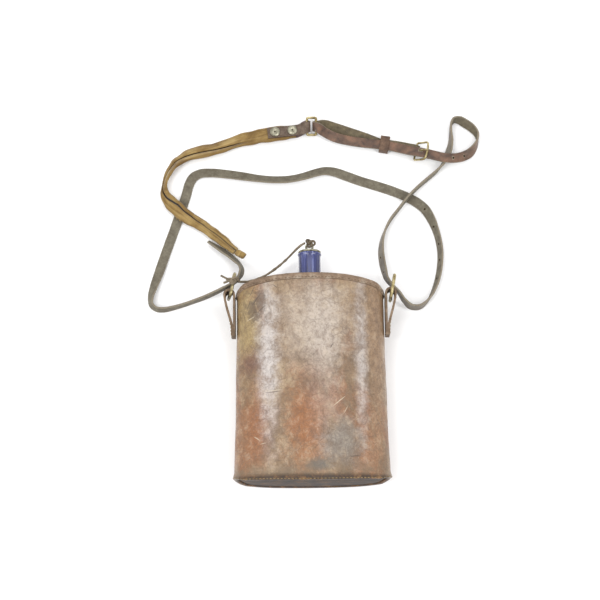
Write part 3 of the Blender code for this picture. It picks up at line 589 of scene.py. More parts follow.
def turned(name, profile, finish, body, stands_for, place):
    """A piece turned about its own Z axis from (radius, height) points in millimetres."""
    bm = bmesh.new()
    angles = [2 * math.pi * k / TURNED_SIDES for k in range(TURNED_SIDES)]
    rings = []
    for radius, height in profile:
        spots = [place @ Vector((radius * math.cos(a), radius * math.sin(a), height)) * MM for a in angles]
        rings.append([bm.verts.new(spot) for spot in spots])
    skin(bm, rings, closed=True)
    return from_bmesh(name, bm, finish, body, stands_for, 30.0)


def rounded_profile(points, per_corner, reach):
    """A closed (radius, height) profile with its corners rounded, each over at most reach millimetres."""
    out = []
    count = len(points)
    for i in range(count):
        before, here, after = (Vector(points[j % count]) for j in (i - 1, i, i + 1))
        arms = (before - here, after - here)
        a, b = (here + arm.normalized() * min(reach, arm.length * 0.4) for arm in arms)
        for k in range(per_corner + 1):
            t = k / per_corner
            out.append(tuple((1 - t) ** 2 * a + 2 * t * (1 - t) * here + t * t * b))
    return out


def about_neck():
    """The neck's own frame, its Z axis along the neck."""
    return Matrix.Translation((0, 0, NECK_Z)) @ Matrix.Rotation(-math.pi / 2, 4, "X")


# ---------------------------------------------------------------- stitches

def stitch_tree():
    """Geometry Nodes: stitches laid along a line, each a rounded bar that lies along it."""
    tree = bpy.data.node_groups.new("stitch_row", "GeometryNodeTree")
    face = tree.interface
    face.new_socket("Geometry", in_out="INPUT", socket_type="NodeSocketGeometry")
    for name, value in (("Spacing", 0.0035), ("Stitch length", 0.0026), ("Thread radius", 0.0004)):
        socket = face.new_socket(name, in_out="INPUT", socket_type="NodeSocketFloat")
        socket.default_value = value
    face.new_socket("Thread", in_out="INPUT", socket_type="NodeSocketMaterial")
    face.new_socket("Geometry", in_out="OUTPUT", socket_type="NodeSocketGeometry")

    def add(kind, settings=(), **given):
        """A node with its settings and its inputs, each a socket to link or a plain value."""
        made = tree.nodes.new(kind)
        for key, value in settings:
            setattr(made, key, value)
        for key, value in given.items():
            socket = made.inputs[key.replace("_", " ")]
            if isinstance(value, bpy.types.NodeSocket):
                tree.links.new(value, socket)
            else:
                socket.default_value = value
        return made

    given = add("NodeGroupInput").outputs
    line = add("GeometryNodeMeshToCurve", Mesh=given["Geometry"])
    points = add("GeometryNodeCurveToPoints", [("mode", "LENGTH")], Curve=line.outputs["Curve"],
                 Length=given["Spacing"])
    ball = add("GeometryNodeMeshUVSphere", Segments=8, Rings=6, Radius=1.0)
    half = add("ShaderNodeMath", [("operation", "MULTIPLY")], Value=given["Stitch length"])
    half.inputs[1].default_value = 0.5
    radius = given["Thread radius"]
    sizes = add("ShaderNodeCombineXYZ", X=radius, Y=radius, Z=half.outputs[0])
    shape = add("GeometryNodeTransform", Geometry=ball.outputs["Mesh"], Scale=sizes.outputs["Vector"])
    wear = add("FunctionNodeRandomValue", [("data_type", "FLOAT")], Seed=7)
    for key, value in (("Min", 0.82), ("Max", 1.12)):
        wear.inputs[key].default_value = value
    lay = add("GeometryNodeInstanceOnPoints", Points=points.outputs["Points"],
              Instance=shape.outputs["Geometry"], Rotation=points.outputs["Rotation"],
              Scale=wear.outputs["Value"])
    real = add("GeometryNodeRealizeInstances", Geometry=lay.outputs["Instances"])
    coat = add("GeometryNodeSetMaterial", Geometry=real.outputs["Geometry"], Material=given["Thread"])
    add("NodeGroupOutput", Geometry=coat.outputs["Geometry"])
    return tree


def stitch_row(name, tree, lines, sizes, colour, body):
    """Stitches along lines of points in metres; sizes are spacing, length and thread radius in mm."""
    bm = bmesh.new()
    for line in lines:
        verts = [bm.verts.new(p) for p in line]
        for a, b in zip(verts, verts[1:]):
            bm.edges.new((a, b))
    draft = linked(name + "_draft", as_mesh(name + "_line", bm))
    needle = draft.modifiers.new("sew", "NODES")
    needle.node_group = tree
    ids = {item.name: item.identifier for item in tree.interface.items_tree if item.in_out == "INPUT"}
    for key, size in zip(("Spacing", "Stitch length", "Thread radius"), sizes):
        needle[ids[key]] = size * MM
    needle[ids["Thread"]] = colour
    return from_mesh(name, settled(draft), None, body, sharp=80.0)


# ---------------------------------------------------------------- straps

# Millimetres and degrees, apart from WARM_RUN
NARROW = 9.8              # the sling strap's width from the buckle on
WIDE = 11.6               # and its width down the left side
WIDENS = (90, 95)         # the rows of its outward stretch between which it widens
STRAP_THICK = 2.2
WEB_WIDTH = 14.6
WEB_THICK = 3.4
WEBBING_TAPER = (13.4, 12.0, 11.0, 10.6, 10.6)   # the canvas's widths at its last rows
PATCH_WIDTH = 11.4
PATCH_THICK = 1.9
SQUARE_LEAN = 36.0
SQUARE_BAR = (0.0, math.cos(math.radians(SQUARE_LEAN)), math.sin(math.radians(SQUARE_LEAN)))
BUCKLE_HEEL = (110.5, 242.8, 4.2)
BUCKLE_TURN = -13.0
BUCKLE_TIP = 41.0
WARM_RUN = (0.27, 0.42)   # metres along the sling strap over which its redder end fades out

# Free straps, as rows of (x, y, lift of the lowest edge, lean in degrees), in millimetres. A lean of 0
# lies flat, 90 stands on edge with the strap's left side up, and 180 lies flat, flesh side up.
TAIL_ROWS = [(88, 249.8, 0.3, 0), (96, 247.9, 0.3, 0), (104, 246.0, 0.3, 0), (110.4, 244.4, 0.3, 0)]
RETURN_ROWS = [(110.4, 244.4, 5.7, 0), (104, 246.0, 5.2, 0), (96, 248.2, 4.2, 0), (89, 250.0, 3.2, 0),
               (83.5, 251.0, 2.5, 0), (78.5, 251.8, 2.4, 0), (73, 253.2, 2.4, 0), (65, 256.4, 2.0, 8),
               (54, 260.8, 1.2, 20), (41, 265.8, 0.6, 24), (28, 270.4, 0.9, 24), (17, 273.2, 2.0, 30),
               (8.8, 271.4, 3.8, 36)]
OUTWARD_ROWS = [(8.8, 268.0, 8.3, 36), (17, 263.4, 6.4, 30), (27, 258.6, 5.2, 18), (40, 255.2, 5.0, 6),
                (54, 252.6, 5.2, 2), (64, 251.2, 5.4, 0), (73, 250.2, 5.3, 0), (78.5, 249.4, 5.3, 0),
                (83.5, 248.4, 5.4, 0), (93, 245.6, 6.7, 0), (104, 242.2, 8.5, 0), (112, 240.4, 9.2, 0),
                (122, 238.0, 9.6, 0), (131, 235.2, 10.2, 0), (141, 232.8, 10.6, 0),
                (151, 233.4, 8.4, 4), (159, 236.2, 4.6, 18), (166, 240.6, 1.6, 42),
                (171, 246.8, 0.5, 66), (174, 254, 0.3, 86), (173.4, 261, 0.3, 104),
                (169, 267.4, 0.3, 122), (162, 273, 0.3, 130), (155.6, 276.6, 0.3, 118),
                (151, 276.6, 0.3, 102), (148, 272.6, 0.3, 94), (147, 264, 0.3, 88),
                (146.6, 253, 0.3, 72), (144, 242, 0.3, 60), (139, 230.6, 0.3, 72), (131, 221, 0.3, 88),
                (122, 213, 0.6, 90), (111, 203, 2.2, 90), (103, 194.6, 3.4, 90), (97, 187.6, 3.4, 90),
                (91, 180, 2.4, 90), (83, 170, 0.8, 90), (77, 159, 0.4, 86), (73.2, 147, 0.8, 76),
                (72, 136, 3.0, 66), (72.6, 124, 7.5, 64), (74.2, 112, 14.0, 70), (76.6, 101, 21.5, 82),
                (80.8, 93.8, 25.6, 90), (87.0, 88, 22.0, 90), (93.4, 81, 14.6, 86),
                (101, 76.8, 6.8, 80), (109.6, 78, 2.2, 80), (116.6, 83.6, 0.5, 90),
                (122.6, 93, 0.3, 104), (128, 107, 0.3, 112), (131, 122, 0.3, 113),
                (131.8, 135, 0.3, 113), (130.4, 147.6, 0.3, 114), (127.4, 160, 0.3, 120),
                (123.4, 171, 0.3, 136), (118, 181, 0.3, 158), (109.6, 189, 0.3, 175),
                (98, 195.8, 0.3, 180), (85, 201.6, 0.3, 180), (71, 206.6, 0.3, 180),
                (53, 212.6, 0.3, 180), (38, 218.4, 0.3, 182), (26, 222.6, 0.3, 192),
                (17, 223.4, 0.3, 202), (6, 221, 0.3, 208), (-5, 217.6, 0.3, 212),
                (-19, 214.8, 0.3, 214), (-34, 214.4, 0.3, 214), (-51, 216, 0.3, 212),
                (-67, 218.8, 0.3, 202), (-85, 221.6, 0.3, 196), (-100, 223, 0.3, 194),
                (-110, 222.4, 0.3, 190), (-117, 218.8, 0.3, 184), (-121, 212, 0.3, 181),
                (-124, 201, 0.3, 180), (-128.4, 186, 0.3, 180), (-133.6, 170, 0.3, 180),
                (-138.8, 154.6, 0.3, 181), (-145, 136, 0.3, 186), (-151, 117, 0.3, 198),
                (-156, 102, 0.3, 218), (-158.6, 91, 0.3, 238), (-158, 84, 0.3, 250),
                (-153.2, 79.4, 0.3, 258), (-146, 78.4, 0.3, 262), (-137, 80, 0.3, 266),
                (-127, 82.6, 1.0, 269), (-115, 85.6, 4.5, 270), (-103.4, 87.8, 12.0, 270),
                (-93, 90.4, 19.0, 270), (-85, 93.2, 22.8, 270), (-78, 96.4, 23.7, 270),
                (-72.6, 101.4, 22.6, 270), (-69.2, 108.6, 17.0, 266), (-68.2, 115.8, 9.6, 258),
                (-69.8, 122.2, 4.0, 250), (-74.4, 128.4, 1.0, 244), (-81.4, 134.7, 0.3, 241),
                (-91, 141.6, 0.3, 239), (-101.6, 148.8, 0.3, 238)]
WEBBING_ROWS = [(-12.6, 265.9, 4.0, 0), (-20, 265.2, 4.0, 0), (-30, 264.2, 4.0, 0),
                (-42.6, 262.8, 4.0, 0), (-55, 261.0, 2.2, 0), (-67, 258.4, 0.7, 5),
                (-80, 253.6, 0.4, 14), (-93, 249, 0.4, 20), (-106, 245.8, 0.4, 22),
                (-119, 242, 0.4, 24), (-129, 237.4, 0.4, 30), (-136.4, 231, 0.4, 42),
                (-141.6, 223, 0.5, 50), (-145, 214, 0.7, 50), (-146.6, 205, 1.4, 40),
                (-144.8, 197, 2.4, 26), (-139, 189.6, 3.2, 12), (-130, 181.6, 3.4, 4),
                (-118.6, 172.6, 3.3, 0), (-105, 163.0, 3.4, 0), (-91.6, 153.0, 3.9, 0),
                (-81.4, 144.2, 5.0, 0), (-75.0, 138.6, 6.4, 0)]
PATCH_LOW_ROWS = [(-41, 263.0, 1.5, 0), (-30, 264.2, 1.5, 0), (-18, 265.4, 1.5, 0),
                  (-11.5, 266.2, 1.5, 1), (-6, 268.6, 2.2, 14), (-0.6, 271.2, 3.4, 36)]
PATCH_TOP_ROWS = [(-0.6, 268.0, 7.7, 36), (-6, 266.8, 7.6, 14), (-11.5, 266.0, 7.8, 1),
                  (-18, 265.4, 7.8, 0), (-30, 264.2, 7.8, 0), (-41, 263.0, 7.8, 0)]
THONG_POINTS = [(-4.8, 135.8, 38.0), (-8.6, 132.4, 41.4), (-13.6, 127.6, 42.2), (-19.6, 122.0, 39.6),
                (-27, 116.0, 36.0), (-35, 110.4, 33.2), (-43, 105.4, 31.8), (-51, 101.6, 31.8),
                (-57.6, 99.2, 33.0), (-63, 98.0, 35.0), (-67.4, 97.4, 37.4)]


def strand(rows, widths, thick, side=1):
    """Turn route rows into (x, y, z, across x, y, z, width), each row's lowest edge at its lift."""
    spots = [Vector((row[0], row[1], 0)) for row in rows]
    sections = []
    for i, (x, y, lift, lean) in enumerate(rows):
        along = spots[min(i + 1, len(spots) - 1)] - spots[max(i - 1, 0)]
        left = Vector((-along.y, along.x, 0)).normalized() * side
        angle = math.radians(lean)
        across = left * math.cos(angle) + Vector((0, 0, math.sin(angle)))
        height = lift + widths[i] / 2 * abs(math.sin(angle)) + thick / 2 * abs(math.cos(angle))
        sections.append((x, y, height, *across, widths[i]))
    return sections


def turned_back(before, after, bar, towards_x):
    """Two strands that face each other, joined by the half circle in which the strap goes round a bar."""
    last, first = before[-1], after[0]
    middle = (Vector(last[:3]) + Vector(first[:3])) / 2
    across = Vector(bar).normalized()
    arm = Vector(last[:3]) - middle
    shift = across * arm.dot(across)
    arm -= shift
    out = across.cross(arm)
    out *= math.copysign(1.0, out.x * towards_x)
    turn = []
    for degrees in (0, 36, 72, 108, 144, 180):
        angle = math.radians(degrees)
        spot = middle + arm * math.cos(angle) + out * math.sin(angle) + shift * (1 - degrees / 90)
        turn.append((*spot, *across, last[6]))
    return before[:-1] + turn + after[1:]


def strap_section(half_wide, half_thick, round_off):
    """(across, up, side) points of a strap's section with eased edges; side is 1 on the grain face,
    0 on the flesh face and half on the cut edges."""
    points = []
    for sx, sy, start in ((1, 1, 0), (-1, 1, 90), (-1, -1, 180), (1, -1, 270)):
        for k in range(4):
            a = math.radians(start + 30 * k)
            x = sx * (half_wide - round_off) + round_off * math.cos(a)
            y = sy * (half_thick - round_off) + round_off * math.sin(a)
            points.append((x, y, 0.5 + 0.5 * math.sin(a)))
        if sx * sy < 0:
            continue
        for share in (0.5, 0.0, -0.5):
            points.append((share * half_wide * sx, sy * half_thick, 0.5 + 0.5 * sy))
    return points


def webbing_section(half_wide, half_thick, fold):
    """(across, up, hollow) points of a strip folded in from both sides, its two edges meeting over a
    slit that lies fold half widths off the middle; hollow is how deep in the slit a point lies."""
    r = half_thick
    right, left = ([(sign * (half_wide - r) + r * math.cos(a), r * math.sin(a), 0.0)
                    for a in [math.radians(start + 22.5 * k) for k in range(9)]]
                   for sign, start in ((1, -90), (-1, 90)))
    slit = fold * half_wide
    lobe = 0.34 * half_wide
    folds = ((lobe * 1.5, 0.96, 0.0), (lobe * 0.8, 0.98, 0.0), (1.05, 0.66, 0.15), (0.55, 0.10, 0.7),
             (0.0, -0.55, 1.0), (-0.5, 0.02, 0.7), (-1.0, 0.55, 0.2), (lobe * -0.8, 0.86, 0.0),
             (lobe * -1.5, 0.88, 0.0))
    return right + [(slit + x, r * y, hollow) for x, y, hollow in folds] + left


def stations(sections):
    """(row, place, across, up) at each section of a strap, in millimetres."""
    rows = smooth_through(sections, PER_SPAN)
    spots = [Vector(row[:3]) for row in rows]
    found = []
    for i, row in enumerate(rows):
        along = (spots[min(i + 1, len(spots) - 1)] - spots[max(i - 1, 0)]).normalized()
        across = Vector(row[3:6])
        across = (across - along * across.dot(along)).normalized()
        found.append((row, spots[i], across, along.cross(across).normalized()))
    return found


def ribbon(name, sections, section_at, finish, stands_for, wobble=0.0):
    """A strap through its sections, with its 'run' and 'across' in metres and its 'side' and 'hollow'
    kept on its points. section_at(width, share, run) gives the outline of one section."""
    found = stations(sections)
    spots = [spot for row, spot, across, up in found]
    bm = bmesh.new()
    layers = [bm.verts.layers.float.new(key) for key in ("run", "across", "side", "hollow")]
    rings = []
    run = 0.0
    for i, (row, middle, across, up) in enumerate(found):
        run += (middle - spots[i - 1]).length if i else 0.0
        ring = []
        for x, y, mark in section_at(row[6], i / (len(found) - 1), run):
            spot = middle + across * x + up * y
            uneven = wobble * noise.noise(spot * 0.09 + Vector((run * 0.01, 0, 0)))
            vert = bm.verts.new((spot + (across * x * 0.1 + up * y * 0.3) * uneven) * MM)
            for layer, value in zip(layers, (run * MM, x * MM, mark, mark)):
                vert[layer] = value
            ring.append(vert)
        rings.append(ring)
    skin(bm, rings)
    for end in (rings[0], rings[-1]):
        bm.faces.new(end)
    return from_bmesh(name, bm, finish, "case", stands_for, 50.0), [spot * MM for spot in spots]


def buckle_stand():
    """The buckle's own frame: X from its heel bar to its far bar, Y along the heel bar."""
    return (Matrix.Translation(BUCKLE_HEEL) @ Matrix.Rotation(math.radians(BUCKLE_TURN), 4, "Z")
            @ Matrix.Rotation(math.radians(-BUCKLE_TIP), 4, "Y"))


def peg(bm, spot, up, radius, depth):
    """Add a round peg about a place, in millimetres."""
    made = bmesh.ops.create_cone(bm, cap_ends=True, segments=14, radius1=radius * MM, radius2=radius * MM,
                                 depth=depth * MM)
    turn = Vector((0, 0, 1)).rotation_difference(up).to_matrix().to_4x4()
    bmesh.ops.transform(bm, matrix=Matrix.Translation(spot * MM) @ turn, verts=made["verts"])


# Punched holes: (x, y) in millimetres and the first section at which to look for them
STRAP_HOLES = (((147, 233), 60), ((158, 237), 60), ((128.4, 107), 300), ((131.5, 126), 300),
               ((131.5, 144), 300), ((127.0, 161), 300), ((117.4, 181.6), 300), ((73.4, 128), 200),
               ((74.6, 110), 200))
HOLE_RADIUS = 0.95


def punch(piece, sections, dark):
    """Blind holes in the strap's upper face, their small inner faces given a dark finish as painted shade,
    and the hole and slot for the buckle's tongue.
    """
    found = stations(sections)
    bm = bmesh.new()
    spots = []
    for place, skip in STRAP_HOLES:
        near = min(range(skip, len(found) - 1), key=lambda i: (found[i][1].xy - Vector(place)).length)
        spot, up = found[near][1], found[near][3]
        up = up * math.copysign(1.0, up.z)
        spots.append(spot)
        peg(bm, spot + up * 2.4, up, HOLE_RADIUS, 6.0)
    low, high = (buckle_stand() @ Vector((x, 0, 2.4)) for x in (3.4, 11.5))
    peg(bm, (low + high) / 2, high - low, 1.25, (high - low).length)
    slot = bmesh.ops.create_cube(bm, size=1.0)
    place = (Matrix.Translation((Vector(BUCKLE_HEEL) + Vector((0.2, 0, -0.7))) * MM)
             @ Matrix.Rotation(math.radians(BUCKLE_TURN), 4, "Z")
             @ Matrix.Diagonal((0.0084, 0.0025, 0.0094, 1.0)))
    bmesh.ops.transform(bm, matrix=place, verts=slot["verts"])
    pegs = linked("pegs", as_mesh("pegs", bm))
    cut = piece.modifiers.new("holes", "BOOLEAN")
    cut.operation = "DIFFERENCE"
    cut.solver = "EXACT"
    cut.use_self = True
    cut.object = pegs
    bpy.context.view_layer.update()
    graph = bpy.context.evaluated_depsgraph_get()
    piece.data = bpy.data.meshes.new_from_object(piece.evaluated_get(graph))
    piece.modifiers.clear()
    bpy.data.objects.remove(pegs, do_unlink=True)
    # Painted shade: the small faces inside the punched holes take the dark finish.
    piece.data.materials.append(dark)
    for face in piece.data.polygons:
        near_hole = any((face.center / MM - spot).length < HOLE_RADIUS * 1.2 for spot in spots)
        if near_hole and face.area < 4e-6:
            face.material_index = 1


def sling_strap(finish, dark):
    """The sling: folded round the buckle's heel bar and the square ring, then all the way round to its
    other end under the canvas."""
    first, last = WIDENS
    shares = [min(1.0, max(0.0, (i - first) / (last - first))) for i in range(len(OUTWARD_ROWS))]
    tail = strand(TAIL_ROWS, [NARROW] * len(TAIL_ROWS), STRAP_THICK)
    back = strand(RETURN_ROWS, [NARROW] * len(RETURN_ROWS), STRAP_THICK, side=-1)
    outward = strand(OUTWARD_ROWS, [NARROW + (WIDE - NARROW) * share for share in shares], STRAP_THICK)
    heel = buckle_stand().to_3x3() @ Vector((0, 1, 0))
    sections = turned_back(turned_back(tail, back, heel, 1), outward, SQUARE_BAR, -1)

    def section(width, share, run):
        taper = min(1.0, 0.35 + (1.0 - share) * 60.0)
        half = (width / 2 + 0.15 * noise.noise(Vector((run * 0.05, 3.1, 0)))) * taper
        return strap_section(half, STRAP_THICK / 2, 0.55)

    piece, path = ribbon("sling_strap_leather", sections, section, finish, ("sling_strap",))
    punch(piece, sections, dark)


def patch_strip(finish):
    """The leather strip folded round the square ring and riveted over the canvas."""
    low = strand(PATCH_LOW_ROWS, [PATCH_WIDTH] * len(PATCH_LOW_ROWS), PATCH_THICK)
    top = strand(PATCH_TOP_ROWS, [PATCH_WIDTH] * len(PATCH_TOP_ROWS), PATCH_THICK, side=-1)

    def section(width, share, run):
        return strap_section(width / 2, PATCH_THICK / 2, 0.5)

    sections = turned_back(low, top, SQUARE_BAR, 1)
    return ribbon("shoulder_patch", sections, section, finish, ("rivet_tab",))[0], top


# How open the canvas's slit is, and where it lies in half widths, by share of the strip's length
SLIT_DEPTH = ((0.0, 0.0), (0.20, 0.0), (0.30, 1.0), (0.74, 1.0), (0.86, 0.45), (1.0, 0.5))
SLIT_PLACE = ((0.0, 0.5), (0.22, 0.5), (0.36, 0.15), (0.50, -0.1), (0.60, -0.45), (0.68, 0.0),
              (0.75, 0.4), (1.0, 0.1))
CANVAS_END = (-73.7, 137.5, 7.0, 0)   # its last row, a little beyond the solid's


def along_strip(stops, share):
    """A value by share of a strip's length, from stops of (share, value)."""
    for (a, low), (b, high) in zip(stops, stops[1:]):
        if share <= b:
            return low + (high - low) * (share - a) / (b - a)
    return stops[-1][1]


def shoulder_canvas(finish, fittings):
    """The canvas strip: flat beside the rivets, then folded in on itself with a slit between the folds."""
    widths = [WEB_WIDTH] * (len(WEBBING_ROWS) - len(WEBBING_TAPER)) + list(WEBBING_TAPER)

    def section(width, share, run):
        gather = 1.0 - 0.42 * math.exp(-((share - 0.62) / 0.08) ** 2) - 0.3 * max(0.0, share - 0.94) / 0.06
        half = width / 2 * gather * (1.0 + 0.03 * noise.noise(Vector((run * 0.06, 0.7, 2.0))))
        opened = along_strip(SLIT_DEPTH, share)
        fold = along_strip(SLIT_PLACE, share)
        shut = 0.98 * WEB_THICK / 2
        points = []
        for x, y, mark in webbing_section(half, WEB_THICK / 2, fold):
            if mark:
                y = shut + (y - shut) * opened
            points.append((x, y, mark * opened))
        return points

    sections = strand(WEBBING_ROWS[:-1] + [CANVAS_END], widths, WEB_THICK)
    piece, path = ribbon("shoulder_canvas", sections, section, finish, ("webbing_strap",), wobble=2.4)
    roll = rolled_end(finish)
    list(fraying(finish))


def rolled_end(finish):
    """The canvas's end rolled on itself, its hollow facing the case."""
    turns, steps, thick, length = 1.8, 44, 1.0, 10.0
    outer, inner = [], []
    for k in range(steps + 1):
        share = k / steps
        angle = 2 * math.pi * turns * share + 2.2
        radius = 4.3 - 2.6 * share
        for side, r in ((outer, radius), (inner, radius - thick)):
            side.append((r * math.cos(angle), r * math.sin(angle)))
    outline = outer + inner[::-1]
    along = Vector((0.86, -0.5, 0.0))
    turn = Vector((0, 0, 1)).rotation_difference(along).to_matrix().to_4x4()
    stand = Matrix.Translation((-68.6, 133.2, 12.8)) @ turn
    bm = bmesh.new()
    layers = [bm.verts.layers.float.new(key) for key in ("run", "across")]
    rings = []
    for step in range(9):
        height = length * (step / 8 - 0.5)
        ring = []
        for i, (x, y) in enumerate(outline):
            swell = 1.0 + 0.04 * noise.noise(Vector((x * 0.4, y * 0.4, height * 0.25)))
            swell *= 1.0 - 0.22 * abs(height / 5.0) ** 5
            slant = 0.10 * y if abs(height) > 3.7 else 0.0
            vert = bm.verts.new((stand @ Vector((x * swell, y * swell, height + slant))) * MM)
            vert[layers[0]] = i * 0.0004
            vert[layers[1]] = height * MM
            ring.append(vert)
        rings.append(ring)
    skin(bm, rings)
    last = len(outline) - 1
    for end in (rings[0], rings[-1]):
        for i in range(steps):
            bm.faces.new((end[i], end[i + 1], end[last - 1 - i], end[last - i]))
    return from_bmesh("canvas_roll", bm, finish, "case", ("webbing_roll",), 50.0)


def fraying(finish):
    """A few loose threads where the canvas's edge has worn through."""
    threads = []
    roots = ((-131.4, 176.2, 190), (-129.8, 174.8, 225), (-128.0, 173.6, 255))
    for number, (x, y, turn) in enumerate(roots, start=1):
        points = [(x, y, 4.6)]
        for reach, bend, height in ((1.6, 0.0, 5.4), (3.0, 0.4, 4.6), (3.8, 0.9, 3.4)):
            a = math.radians(turn) + bend
            points.append((x + reach * math.cos(a), y + reach * math.sin(a), height))
        threads.append(wire(f"loose_thread_{number}", points, 0.28, finish, "case", sides=2))
    return threads


def on_strap(sections, across, up, start, end):
    """A line that follows a strap's face between two shares of its length, in metres."""
    found = stations(sections)
    first, last = int(start * (len(found) - 1)), int(end * (len(found) - 1))
    return [(spot + side * across + rise * up) * MM for row, spot, side, rise in found[first:last + 1]]


# ---------------------------------------------------------------- case

# Millimetres
TOP_Y = 100.0
BASE_Y = -100.0
TOP_HALF_WIDTH = 71.5
BASE_HALF_WIDTH = 74.5
SIDE_Z = 28.0          # height at which the case is widest
FRONT_RISE = 30.0
BACK_DROP = 30.5
OVAL_POWER = 2.5
WALL = 3.0
RING_POINTS = 240      # round the case
BAND_WIDTH = 5.5
BAND_GAP = 0.3
CORNER_START = 62.0    # how far out the corners begin to round off


def oval(half_width, grow, count):
    """(x, z) points of the case's section, grown outwards or, below 0, inwards. The back is flat."""
    points = []
    for k in range(count):
        turn = 2 * math.pi * k / count
        c, s = math.cos(turn), math.sin(turn)
        rise = (FRONT_RISE if s > 0 else BACK_DROP) + grow
        x = (half_width + grow) * math.copysign(abs(c) ** (2 / OVAL_POWER), c)
        z = SIDE_Z + rise * math.copysign(abs(s) ** (2 / OVAL_POWER), s)
        points.append((x, max(z, -min(grow, 0.0))))
    return points


def half_width_at(y):
    """The case narrows evenly from its base to its top."""
    return TOP_HALF_WIDTH + (BASE_HALF_WIDTH - TOP_HALF_WIDTH) * (TOP_Y - y) / (TOP_Y - BASE_Y)


def corner(x):
    """0 along the middle of an edge, and growing over its corners."""
    return max(0.0, abs(x) - CORNER_START) ** 2


def top_edge(x):
    """y of the arched top edge."""
    return TOP_Y - 9.0 * abs(x / TOP_HALF_WIDTH) ** 2.4 - 0.045 * corner(x)


def base_edge(x):
    """y of the slightly hollow base edge."""
    return BASE_Y + 2.0 * (x / BASE_HALF_WIDTH) ** 2 + 0.02 * corner(x)


def section_ring(edge, shift, grow):
    """A ring of the case's section that follows one of its edges, in millimetres."""
    half_width = half_width_at(edge(0) + shift)
    arched = [edge(x) + shift for x, z in oval(half_width, 0.0, RING_POINTS)]
    return [Vector((x, y, z)) for y, (x, z) in zip(arched, oval(half_width, grow, RING_POINTS))]


# Marks pressed into the leather: x, y, half length, half width, angle, depth in millimetres
CREASES = ((-43, -22, 9, 1.0, 4, -0.5), (-59, 80, 8, 1.3, 60, 0.6), (-54, 72, 8, 1.3, 52, -0.6),
           (-50, 63, 7, 1.2, 40, 0.5), (-47, 54, 6, 1.0, 30, -0.5), (-56, 60, 6, 1.0, 70, 0.4),
           (26, -31, 10, 0.7, 44, -0.45), (-50, -62, 6, 0.8, -35, 0.4), (-45, -66, 4, 0.7, 12, -0.4),
           (20, 26, 4, 1.2, 20, 0.4), (-34, 12, 5, 0.9, 55, -0.4), (44, -76, 7, 1.4, 5, 0.4))


def dent(spot):
    """How far the wall's leather stands in or out at a point, in millimetres."""
    x, y, z = spot
    depth = 0.75 * noise.noise(Vector((x * 0.022, y * 0.016, z * 0.03)))
    depth += 0.22 * noise.noise(Vector((x * 0.09, y * 0.05, z * 0.09)))
    if z > SIDE_Z:
        for cx, cy, half_long, half_wide, turn, rise in CREASES:
            a = math.radians(turn)
            dx, dy = x - cx, y - cy
            u = (dx * math.cos(a) + dy * math.sin(a)) / half_long
            v = (-dx * math.sin(a) + dy * math.cos(a) + 0.9 * math.sin(u * 2.6)) / half_wide
            depth += rise * math.exp(-(u ** 4) - v * v)
    return depth - 0.45


def closed_rings(name, rings, finish, body, stands_for, sharp=42.0):
    """Rings skinned one to the next and the last to the first, in millimetres."""
    bm = bmesh.new()
    skin(bm, [[bm.verts.new(p * MM) for p in ring] for ring in rings], closed=True)
    return from_bmesh(name, bm, finish, body, stands_for, sharp)


def case_wall(finish):
    """The oval sleeve of one piece of leather, dented and creased by use."""
    low, high, rows = BAND_WIDTH + BAND_GAP, -BAND_WIDTH - BAND_GAP, 130
    bottom, top = section_ring(base_edge, low, 0.0), section_ring(top_edge, high, 0.0)
    outer = []
    for r in range(rows + 1):
        share = r / rows
        ring = []
        for a, b in zip(bottom, top):
            spot = a.lerp(b, share)
            out = Vector((spot.x / 72.0 ** 2, 0, (spot.z - SIDE_Z) / 30.0 ** 2)).normalized()
            ease = min(1.0, 6.0 * share, 6.0 * (1 - share))
            moved = spot + out * dent(spot) * ease
            ring.append(Vector((moved.x, moved.y, max(moved.z, 0.0))))
        outer.append(ring)
    inner = [section_ring(top_edge, high, -WALL), section_ring(base_edge, low, -WALL)]
    return closed_rings("leather_case", outer + inner, finish, "case", ("case_wall",), 60.0)


# The bands' sections: how far beyond the case's edge, how far out of its wall
BAND_PROFILE = ((-5.5, -0.5), (-5.45, 0.5), (-4.9, 1.0), (-3.4, 1.15), (-1.6, 1.15), (-0.5, 0.95), (0.2, 0.3),
                (0.4, -0.7), (0.3, -2.2), (-0.4, -3.0), (-3.0, -3.05), (-5.5, -3.0))
BASE_PROFILE = ((-5.76, -0.6), (-5.74, 0.0), (-4.6, 0.25), (-3.2, 0.6), (-1.6, 0.95), (-0.5, 0.9),
                (0.15, 0.35), (0.4, -0.7), (0.3, -2.2), (-0.4, -3.0), (-3.0, -3.05), (-5.5, -3.0))


def band(name, edge, sign, profile, finish, node, rough):
    """A bound edge of the case: its profile carried round the oval, with the unevenness of handwork."""
    rings = []
    for shift, grow in profile:
        ring = section_ring(edge, sign * shift, grow)
        if grow > 0:
            for p in ring:
                uneven = noise.noise(p * 0.16) * rough
                p.y += uneven * 0.5
                p.z = max(0.0, p.z - abs(uneven) * 0.4) if p.z > SIDE_Z else p.z
        rings.append(ring)
    return closed_rings(name, rings, finish, "case", (node,))


# ---------------------------------------------------------------- neck and stopper

def enamel_neck(finish):
    """The flask's neck with its rolled lip and its foot."""
    profile = [(9.9, 126.5), (10.5, 126.8), (11.3, 126.7), (11.7, 126.0), (11.65, 125.1), (11.2, 124.4),
               (10.9, 123.4), (10.8, 118.0), (10.75, 110.0), (10.9, 101.0), (11.1, 97.6), (11.9, 96.3),
               (13.0, 95.6), (13.0, 94.95), (9.7, 94.95), (9.7, 125.6)]
    turned("enamel_neck", rounded_profile(profile, 3, 0.5), finish, "case", ("flask_neck",), about_neck())


